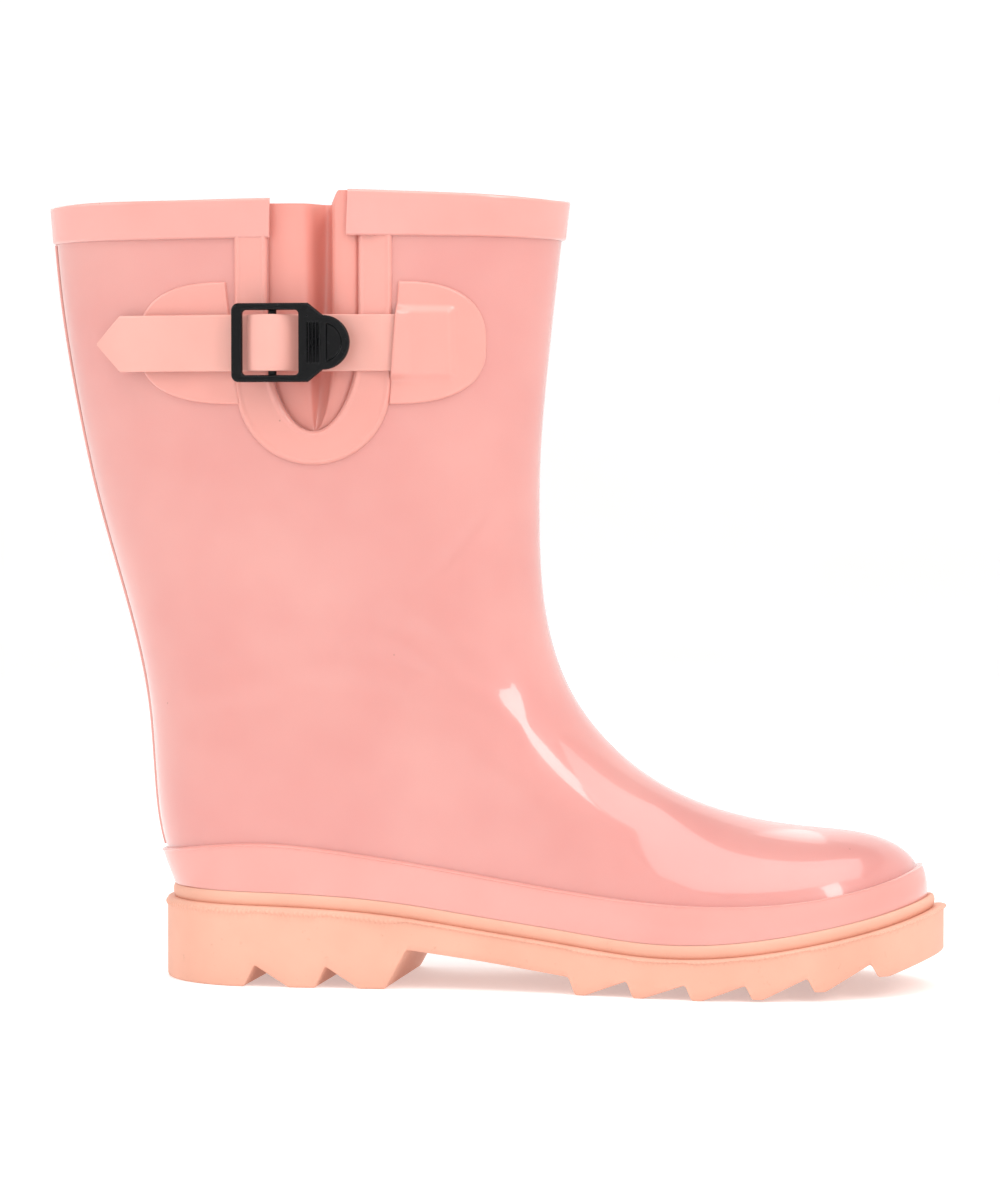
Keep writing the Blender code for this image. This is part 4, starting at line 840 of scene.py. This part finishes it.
def buckle_frame():
    """Ring between the outline and the window, with the tab's ribs raised on its face."""
    count, across = 720, 76
    edge = 0.85 * MM
    angle, inner = polar_outline(window_outline(), count)
    _, outer = polar_outline(frame_outline(), count)
    quarter = np.radians(np.linspace(0.0, 90.0, 7))
    rim_in, rim_down = edge * (1 - np.cos(quarter)), edge * (1 - np.sin(quarter))
    flat = np.linspace(0.0, 1.0, across)[1:-1]
    place = [inner + v for v in rim_in]
    place += [inner + edge + (outer - inner - 2 * edge) * k for k in flat]
    place += [outer - v for v in rim_in[::-1]]
    down = np.r_[rim_down, 0 * flat, rim_down[::-1]]
    place = np.stack(place)
    x, z = BAR_X + place * np.cos(angle), STRAP_Z + place * np.sin(angle)
    mid = BAR_Y - BAR_SINK
    face = mid - FRAME_THICKNESS / 2 + down[:, None] - tab_detail(x, z) * (down[:, None] == 0)
    back = mid + FRAME_THICKNESS / 2 - down[:, None] + 0 * x
    front_rows = np.stack([x, face, z], axis=-1)
    few = np.r_[0:8, 20, 40, 60, len(x) - 8:len(x)]
    back_rows = np.stack([x, back, z], axis=-1)[few][::-1]
    grid = np.concatenate([front_rows, back_rows, front_rows[:1]])
    return tube_grid("buckle_frame_moulding", grid, sharp=50.0)


def rod(name, x, y, low, high, radius, bevel=0.3 * MM, count=48):
    """Closed rod along Z with rounded rims: radius and height of each ring, then poles."""
    a = np.radians(np.linspace(0.0, 90.0, 5))
    r = np.r_[0.0, radius - bevel + bevel * np.sin(a), (radius - bevel + bevel * np.sin(a))[::-1], 0.0]
    z = np.r_[low, low + bevel * (1 - np.cos(a)), (high - bevel * (1 - np.cos(a)))[::-1], high]
    t = np.linspace(0.0, 2 * math.pi, count, endpoint=False)
    grid = np.stack([x + r[:, None] * np.cos(t), y + r[:, None] * np.sin(t), z[:, None] + 0 * t], axis=-1)
    return tube_grid(name, grid)


def lug(name, sign):
    """Tapered post from the bar to the back of the rail, as a loft of rounded rectangles."""
    z = STRAP_Z + sign * np.array([WINDOW_HIGH + 0.1 * MM, WINDOW_HIGH + 2.0 * MM])
    y = np.linspace(BAR_Y + 1.7 * MM, BAR_Y - BAR_SINK, 12)
    wide = np.interp(y, [y[-1], y[0]], [3.6 * MM, 2.2 * MM])
    section = bar_section(1.0, 2.0, 0.35)
    low, high = sorted(z)
    x = BAR_X + wide[:, None] * section[None, :, 0]
    zz = (low + high) / 2 + (high - low) / 2 * section[None, :, 1] * np.ones_like(x)
    grid = np.stack([x, y[:, None] + 0 * x, zz], axis=-1)
    ends = [np.repeat(grid[k:k + 1].mean(axis=1, keepdims=True), grid.shape[1], axis=1)
            for k in (0, len(y) - 1)]
    return tube_grid(name, np.concatenate([ends[0], grid, ends[1]]))


moulding = buckle_frame()
bar_reach = WINDOW_HIGH + RAIL_HEIGHT - 0.4 * MM
bar = rod("buckle_bar", BAR_X, BAR_Y, STRAP_Z - bar_reach, STRAP_Z + bar_reach, BAR_RADIUS)
lugs = [lug("buckle_lug_low", -1), lug("buckle_lug_high", 1)]

# %% [markdown]
# ## Outsole
# The sole is moulded in one: a heel block with two notches, an arch and six slanted lugs. Each
# station round the plan is a ring that runs along the underside, up the side wall, out over a fine
# serrated lip that imitates a stitched welt, and back in over a rounded bead to the top.

# %% Outsole
WELT_INSET, SOLE_MARGIN, HEEL_NOTCH, TOE_SPRING = 2.2 * MM, 5.0 * MM, 7.7 * MM, 14.0 * MM


def underside():
    """Corners (x, z) of the sole's underside from heel to toe."""
    heel = [(-HEEL_REACH - 5 * MM, 0.0), (along(4.9), 0.0), (along(6.3), HEEL_NOTCH), (along(10.7), 0.0),
            (along(14.1), 0.0), (along(15.4), HEEL_NOTCH), (along(19.7), 0.0), (along(23.0), 0.0)]
    arch = [(along(25.8), 14.1 * MM), (along(35.3), 10.7 * MM), (along(42.0), 8.0 * MM)]
    lugs = []
    for i in range(6):
        x = along(46.6) + i * along(7.5)
        bottom = TOE_SPRING * max((x - along(62)) / along(30), 0.0) ** 2
        lugs += [(x, bottom + (6.2 - 0.45 * min(i, 3)) * MM), (x + 2.3 * MM, bottom), (x + 6.0 * MM, bottom)]
    return np.array(heel + arch + lugs + [(SOLE_LENGTH - HEEL_REACH + 5 * MM, TOE_SPRING + 1.0 * MM)])


UNDER = underside()


def under_z(x):
    """Underside with its corners eased by averaging over half a millimetre each way."""
    shift = np.linspace(-0.5, 0.5, 7) * MM
    return np.mean([np.interp(x + s, UNDER[:, 0], UNDER[:, 1]) for s in shift], axis=0)


def plan_at(share, margin):
    """x = low + (high - low) * share, and the plan's half-width there, margin outside the shell's."""
    low = BACK_LINE[-1, 0] - margin
    high = TOE_TIP + margin * 7.4 / 5.0
    x = low + (high - low) * share
    heel = np.clip(1 - (x - low) / (HEEL_BACK_ROUND + margin), 0.0, 1.0)
    toe = np.clip(1 - (high - x) / (TOE_ROUND + margin), 0.0, 1.0)
    reach = read_line(WIDTH_LINE, x) + margin
    return x, reach * np.sqrt(np.clip((1 - heel ** 2) * (1 - toe ** TOE_POWER), 0.0, None))


def sole_grid(stations, across):
    """Rings of rows (share of the side's height, margin) with flat top and underside between them."""
    share = (1 - np.cos(np.linspace(0.0, math.pi, stations))) / 2
    length = np.cumsum(np.r_[0.0, np.hypot(*np.diff(np.stack(plan_at(share, SOLE_MARGIN)), axis=1))])
    teeth = 0.5 + 0.5 * np.sin(length * 2 * math.pi / (1.7 * MM))
    wall = [(0.0, -0.9), (0.01, -0.35), (0.04, 0.0), (0.25, 0.0), (0.55, 0.0), (0.80, 0.0), (0.895, 0.0),
            (0.91, 0.40), (0.935, 0.62), (0.96, 0.40), (0.972, 0.0), (0.99, -0.15), (1.0, -0.6)]
    rows = []
    for up, out in wall:
        tooth = 0.45 * MM * (teeth - 0.5) if 0.9 < up < 0.965 else 0.0 * teeth
        x, half = plan_at(share, SOLE_MARGIN + out * MM)
        low, high = under_z(x), read_line(LEDGE_LINE, x)
        rows.append((x, half + tooth, low + (high - low) * up))
    for turn in np.radians(np.linspace(-75.0, 90.0, 12)):
        x, half = plan_at(share, SOLE_MARGIN - WELT_INSET - 0.9 * MM + 0.9 * MM * math.cos(turn))
        lift = WELT_HEIGHT * (0.5 + 0.5 * math.sin(turn))
        rows.append((x, half, read_line(LEDGE_LINE, x) + lift))
    side = [np.stack(row) for row in rows]
    rings = []
    for sign, order in ((-1, side), (1, side[::-1])):
        for x, half, z in order:
            rings.append(np.stack([x, read_line(SHIFT_LINE, x) + sign * half, z], axis=-1))
        x, half, _ = order[-1]
        level = bed_z if sign < 0 else under_z
        for k in np.linspace(1.0, -1.0, across)[1:-1]:
            rings.append(np.stack([x, read_line(SHIFT_LINE, x) + sign * half * k, level(x)], axis=-1))
    return np.stack(rings, axis=1)


sole = tube_grid("outsole_moulding", sole_grid(1500, 10), sharp=50.0)

# %% [markdown]
# ## Materials
# Each finish is a Principled shader with a little procedural variation: no moulded part has one
# even colour or one even gloss. Colours are written as sRGB hex, as a paint card gives them, and
# turned into linear values by one function.

# %% Node helpers
def linear(code):
    """Linear RGBA of an sRGB hex colour: ((c + 0.055) / 1.055) ** 2.4 above the short straight part."""
    c = np.array([int(code[i:i + 2], 16) for i in (0, 2, 4)]) / 255
    c = np.where(c <= 0.04045, c / 12.92, ((c + 0.055) / 1.055) ** 2.4)
    return (*c.tolist(), 1.0)


def add(tree, kind, settings=None, links=None):
    """Adds a node, sets its properties or sockets by name, and links sockets to its inputs."""
    node = tree.nodes.new(kind)
    for key, value in (settings or {}).items():
        if hasattr(node, str(key)):
            setattr(node, key, value)
        else:
            node.inputs[key].default_value = value
    for key, source in (links or {}).items():
        tree.links.new(source, node.inputs[key])
    return node


def finish_of(name, settings):
    """New material: its tree, its shader with the settings put on, and its object coordinates."""
    material = bpy.data.materials.new(name)
    material.use_nodes = True
    tree = material.node_tree
    shader = tree.nodes["Principled BSDF"]
    for key, value in settings.items():
        shader.inputs[key].default_value = value
    place = add(tree, "ShaderNodeTexCoord").outputs["Object"]
    return material, tree, shader, place


def noise(tree, place, size, detail=3.0, roughness=0.5):
    """Noise whose features are about size metres across."""
    return add(tree, "ShaderNodeTexNoise", {"Scale": 1 / size, "Detail": detail, "Roughness": roughness},
               {"Vector": place}).outputs["Fac"]


def between(tree, value, low, high, start=0.0, end=1.0):
    node = add(tree, "ShaderNodeMapRange",
               {"From Min": start, "From Max": end, "To Min": low, "To Max": high},
               {"Value": value})
    return node.outputs["Result"]


def tint(tree, value, dark, light, start=0.3, end=0.7):
    ramp_node = add(tree, "ShaderNodeValToRGB", None, {"Fac": value})
    ends = ramp_node.color_ramp.elements
    ends[0].position, ends[1].position = start, end
    ends[0].color, ends[1].color = linear(dark), linear(light)
    return ramp_node.outputs["Color"]


def bump(tree, shader, height, distance, strength=1.0, key="Normal"):
    node = add(tree, "ShaderNodeBump", {"Strength": strength, "Distance": distance}, {"Height": height})
    tree.links.new(node.outputs["Normal"], shader.inputs[key])


# %% [markdown]
# ### Rubbers
# Natural rubber is milky, so light goes a little way in; the upper is then dipped in clear
# lacquer. The lacquer's own coat gives the sharp highlight and the rubber under it the broad soft
# one. Mould dust leaves a few dark specks, sparse and about half a millimetre across.

# %% Rubber finishes
def rubber(name, dark, light, gloss, coat, grain=0.02, specks=True):
    """Pigmented rubber: gloss is the base roughness and coat the lacquer's weight."""
    material, tree, shader, place = finish_of(name, {
        "Roughness": gloss, "IOR": 1.52, "Coat Weight": coat, "Coat Roughness": 0.07, "Coat IOR": 1.5,
        "Subsurface Weight": 0.12, "Subsurface Scale": 0.004, "Subsurface Radius": (1.0, 0.45, 0.35)})
    colour = tint(tree, noise(tree, place, 45 * MM, 2.0), dark, light)
    if specks:
        dots = add(tree, "ShaderNodeTexVoronoi", {"Scale": 1 / (9 * MM), "Randomness": 1.0},
                   {"Vector": place})
        near = between(tree, dots.outputs["Distance"], 1.0, 0.0, 0.02, 0.05)
        chosen = between(tree, noise(tree, place, 14 * MM, 1.0), 0.0, 1.0, 0.58, 0.62)
        spot = add(tree, "ShaderNodeMath", {"operation": "MULTIPLY"})
        tree.links.new(near, spot.inputs[0])
        tree.links.new(chosen, spot.inputs[1])
        mix = add(tree, "ShaderNodeMix", {"data_type": "RGBA"})
        half = add(tree, "ShaderNodeMath", {"operation": "MULTIPLY"})
        half.inputs[1].default_value = 0.45
        tree.links.new(spot.outputs[0], half.inputs[0])
        tree.links.new(half.outputs[0], mix.inputs[0])
        tree.links.new(colour, mix.inputs[6])
        mix.inputs[7].default_value = linear("6a4038")
        colour = mix.outputs[2]
    tree.links.new(colour, shader.inputs["Base Color"])
    rough = between(tree, noise(tree, place, 12 * MM, 4.0), gloss * 0.85, gloss * 1.2)
    tree.links.new(rough, shader.inputs["Roughness"])
    bump(tree, shader, noise(tree, place, 2.5 * MM, 3.0), grain * MM)
    return material


glossy = rubber("lacquered_pink_rubber", "d38b84", "d8968e", 0.32, 0.9)
band = rubber("lacquered_band_rubber", "dc958b", "e39f96", 0.34, 0.8)
binding = rubber("moulded_trim_rubber", "dc958a", "e49d92", 0.38, 0.45)
folded = rubber("soft_gusset_rubber", "d98a7e", "e3978b", 0.36, 0.5, specks=False)
strap_finish = rubber("calendered_strap_rubber", "dd9c90", "e5a79b", 0.42, 0.3)


def sole_rubber():
    """Matt blown rubber: no coat, a high roughness and a fine grain from the mould's etching."""
    material, tree, shader, place = finish_of("matt_moulded_sole_rubber", {"Roughness": 0.6, "IOR": 1.5})
    colour = tint(tree, noise(tree, place, 30 * MM, 3.0), "dca38c", "e6ae97")
    dust = between(tree, noise(tree, place, 3 * MM, 5.0, 0.7), 0.0, 1.0, 0.62, 0.72)
    mix = add(tree, "ShaderNodeMix", {"data_type": "RGBA"})
    tree.links.new(between(tree, dust, 0.0, 0.25), mix.inputs[0])
    tree.links.new(colour, mix.inputs[6])
    mix.inputs[7].default_value = linear("a87a66")
    tree.links.new(mix.outputs[2], shader.inputs["Base Color"])
    tree.links.new(between(tree, noise(tree, place, 8 * MM), 0.52, 0.68), shader.inputs["Roughness"])
    bump(tree, shader, noise(tree, place, 0.8 * MM, 4.0), 0.06 * MM)
    return material


def black_plastic():
    """Acetal: nearly black, satin, with pale scuffs where noise runs high."""
    settings = {"Roughness": 0.26, "IOR": 1.48, "Specular IOR Level": 0.22}
    material, tree, shader, place = finish_of("satin_black_acetal", settings)
    scuff = between(tree, noise(tree, place, 1.6 * MM, 6.0, 0.7), 0.0, 1.0, 0.60, 0.78)
    tree.links.new(tint(tree, scuff, "07080a", "1a1b1e", 0.0, 1.0), shader.inputs["Base Color"])
    tree.links.new(between(tree, scuff, 0.22, 0.5), shader.inputs["Roughness"])
    bump(tree, shader, noise(tree, place, 0.7 * MM, 3.0), 0.02 * MM)
    return material


def textile(name, dark, light, pitch, depth, roughness=0.9):
    """Cloth, board or foam: crossed waves of that pitch over a soft noise, with no shine."""
    material, tree, shader, place = finish_of(name, {"Roughness": roughness, "IOR": 1.45})
    wave = add(tree, "ShaderNodeTexWave", {"Scale": 0.314 / pitch, "Distortion": 1.5, "Detail": 2.0},
               {"Vector": place})
    tree.links.new(tint(tree, noise(tree, place, 1.5 * MM, 4.0), dark, light), shader.inputs["Base Color"])
    bump(tree, shader, wave.outputs["Fac"], depth * MM, 0.6)
    return material


sole_finish = sole_rubber()
plastic = black_plastic()
jersey = textile("undyed_cotton_jersey", "d8cec8", "e2d9d2", 1.1 * MM, 0.12)
foam = textile("open_cell_foam", "d5cdc4", "e4ddd5", 1.6 * MM, 0.08, 0.95)
board = textile("pressed_fibre_board", "9c8468", "b39a7c", 2.2 * MM, 0.05)


def steel():
    """Rolled spring steel, brushed along its length; here its roughness varies in a fine noise about a
    millimetre across.
    """
    material, tree, shader, place = finish_of("rolled_spring_steel", {"Metallic": 1.0, "IOR": 2.5})
    tree.links.new(tint(tree, noise(tree, place, 10 * MM), "8d8f92", "a6a8aa"), shader.inputs["Base Color"])
    tree.links.new(between(tree, noise(tree, place, 1 * MM), 0.28, 0.5), shader.inputs["Roughness"])
    return material


# %% [markdown]
# ## Put the pieces on the frame
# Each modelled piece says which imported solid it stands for, which body it moves with and which
# finish of the record it shows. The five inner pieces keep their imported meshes.

# %% Assemble
PLACES = [
    (shell, "upper_shell", "boot", "glossy_rubber", glossy), (sock, "lining", "boot", "knit_lining", jersey),
    (gusset, "gusset", "boot", "trim_rubber", folded), (trim, "gusset_trim", "boot", "trim_rubber", binding),
    (cuff, "cuff_band", "boot", "glossy_rubber", band), (stay, "back_stay", "boot", "glossy_rubber", band),
    (foxing, "foxing", "boot", "glossy_rubber", band), (sole, "outsole", "boot", "sole_rubber", sole_finish),
    (rear_patch, "rear_patch", "boot", "trim_rubber", binding),
    (front_patch, "front_patch", "boot", "trim_rubber", binding),
    (strap, "strap", "boot", "strap_rubber", strap_finish),
    (loop, "anchor_loop", "boot", "strap_rubber", strap_finish),
    (tail, "strap_tail", "free_strap_end", "strap_rubber", strap_finish),
    (moulding, "buckle", "buckle_frame", "black_plastic", plastic)]
for obj, node, body, slot, material in PLACES:
    obj.data.materials.clear()
    obj.data.materials.append(material)
    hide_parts(node)
    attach(obj, body)
for obj in (bar, *lugs):
    obj.data.materials.append(plastic)
    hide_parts("buckle")
    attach(obj, "buckle_frame")
KEPT = [("footbed", "foam_footbed", foam), ("insole_board", "pressed_board", board),
        ("heel_counter", "pressed_board", board), ("toe_puff", "pressed_board", board),
        ("shank", "spring_steel", steel())]
for name, slot, material in KEPT:
    nodes[name].data.materials.clear()
    nodes[name].data.materials.append(material)
print("pieces placed:", len(PLACES) + 3 + len(KEPT))

# %% [markdown]
# ## Stage and light
# A round white sweep, as for a catalogue picture taken from every side, with four softboxes: a
# large one over the boot for the broad sheen, one at the rear left for the shaft, a narrow one at
# the toe for the long highlight on the vamp, and a weak one behind.

# %% Floor and softboxes
def stage_finish():
    """Matt white paper that glows faintly, so the backdrop stays even behind the boot."""
    material, tree, shader, place = finish_of("matt_white_sweep", {"Roughness": 0.75, "IOR": 1.4,
        "Emission Color": (1.0, 1.0, 1.0, 1.0), "Emission Strength": 0.33})
    tree.links.new(tint(tree, noise(tree, place, 400 * MM), "e6e5e4", "eceaea"), shader.inputs["Base Color"])
    return material


FLAT_RADIUS, BEND_RADIUS, BACKDROP_HEIGHT = 2.6, 0.9, 3.2


def sweep():
    """Round floor that turns up all round in a quarter circle, so every side has the same backdrop."""
    a = np.linspace(0.0, math.pi / 2, 24)
    reach = np.r_[0.0, FLAT_RADIUS, FLAT_RADIUS + BEND_RADIUS * np.sin(a), FLAT_RADIUS + BEND_RADIUS]
    z = np.r_[0.0, 0.0, BEND_RADIUS * (1 - np.cos(a)), BACKDROP_HEIGHT]
    t = np.linspace(0.0, 2 * math.pi, 96, endpoint=False)
    grid = np.stack([reach[:, None] * np.cos(t), reach[:, None] * np.sin(t), z[:, None] + 0 * t], axis=-1)
    floor = mesh_object("white_sweep", grid.reshape(-1, 3), quads(len(z), 96, True))
    floor.data.flip_normals()
    floor.data.materials.append(stage_finish())


def softbox(name, place, aim, size, power):
    """Rectangular white area light at place, turned to aim; size in metres, power in watts."""
    light = bpy.data.lights.new(name, "AREA")
    light.shape, light.size, light.size_y = "RECTANGLE", *size
    light.energy = power
    obj = bpy.data.objects.new(name, light)
    obj.location = place
    obj.rotation_euler = (Vector(aim) - Vector(place)).to_track_quat("-Z", "Y").to_euler()
    bpy.context.scene.collection.objects.link(obj)


sweep()
softbox("overhead", (0.30, -0.30, 1.30), (0.10, 0.0, 0.1), (1.7, 1.0), 11.5)
softbox("front_left", (-1.7, -0.75, 1.10), (0.0, 0.0, 0.15), (1.2, 1.2), 8.0)
softbox("toe_side", (1.1, -0.9, 1.1), (0.12, 0.0, 0.08), (0.35, 0.8), 6.0)
softbox("behind", (-0.3, 1.1, 0.9), (0.05, 0.0, 0.15), (1.0, 0.8), 3.0)
world = bpy.data.worlds.new("studio")
world.use_nodes = True
world.node_tree.nodes["Background"].inputs["Color"].default_value = (1.0, 1.0, 1.0, 1.0)
world.node_tree.nodes["Background"].inputs["Strength"].default_value = 0.42
bpy.context.scene.world = world
bpy.context.scene.view_settings.view_transform = "Standard"
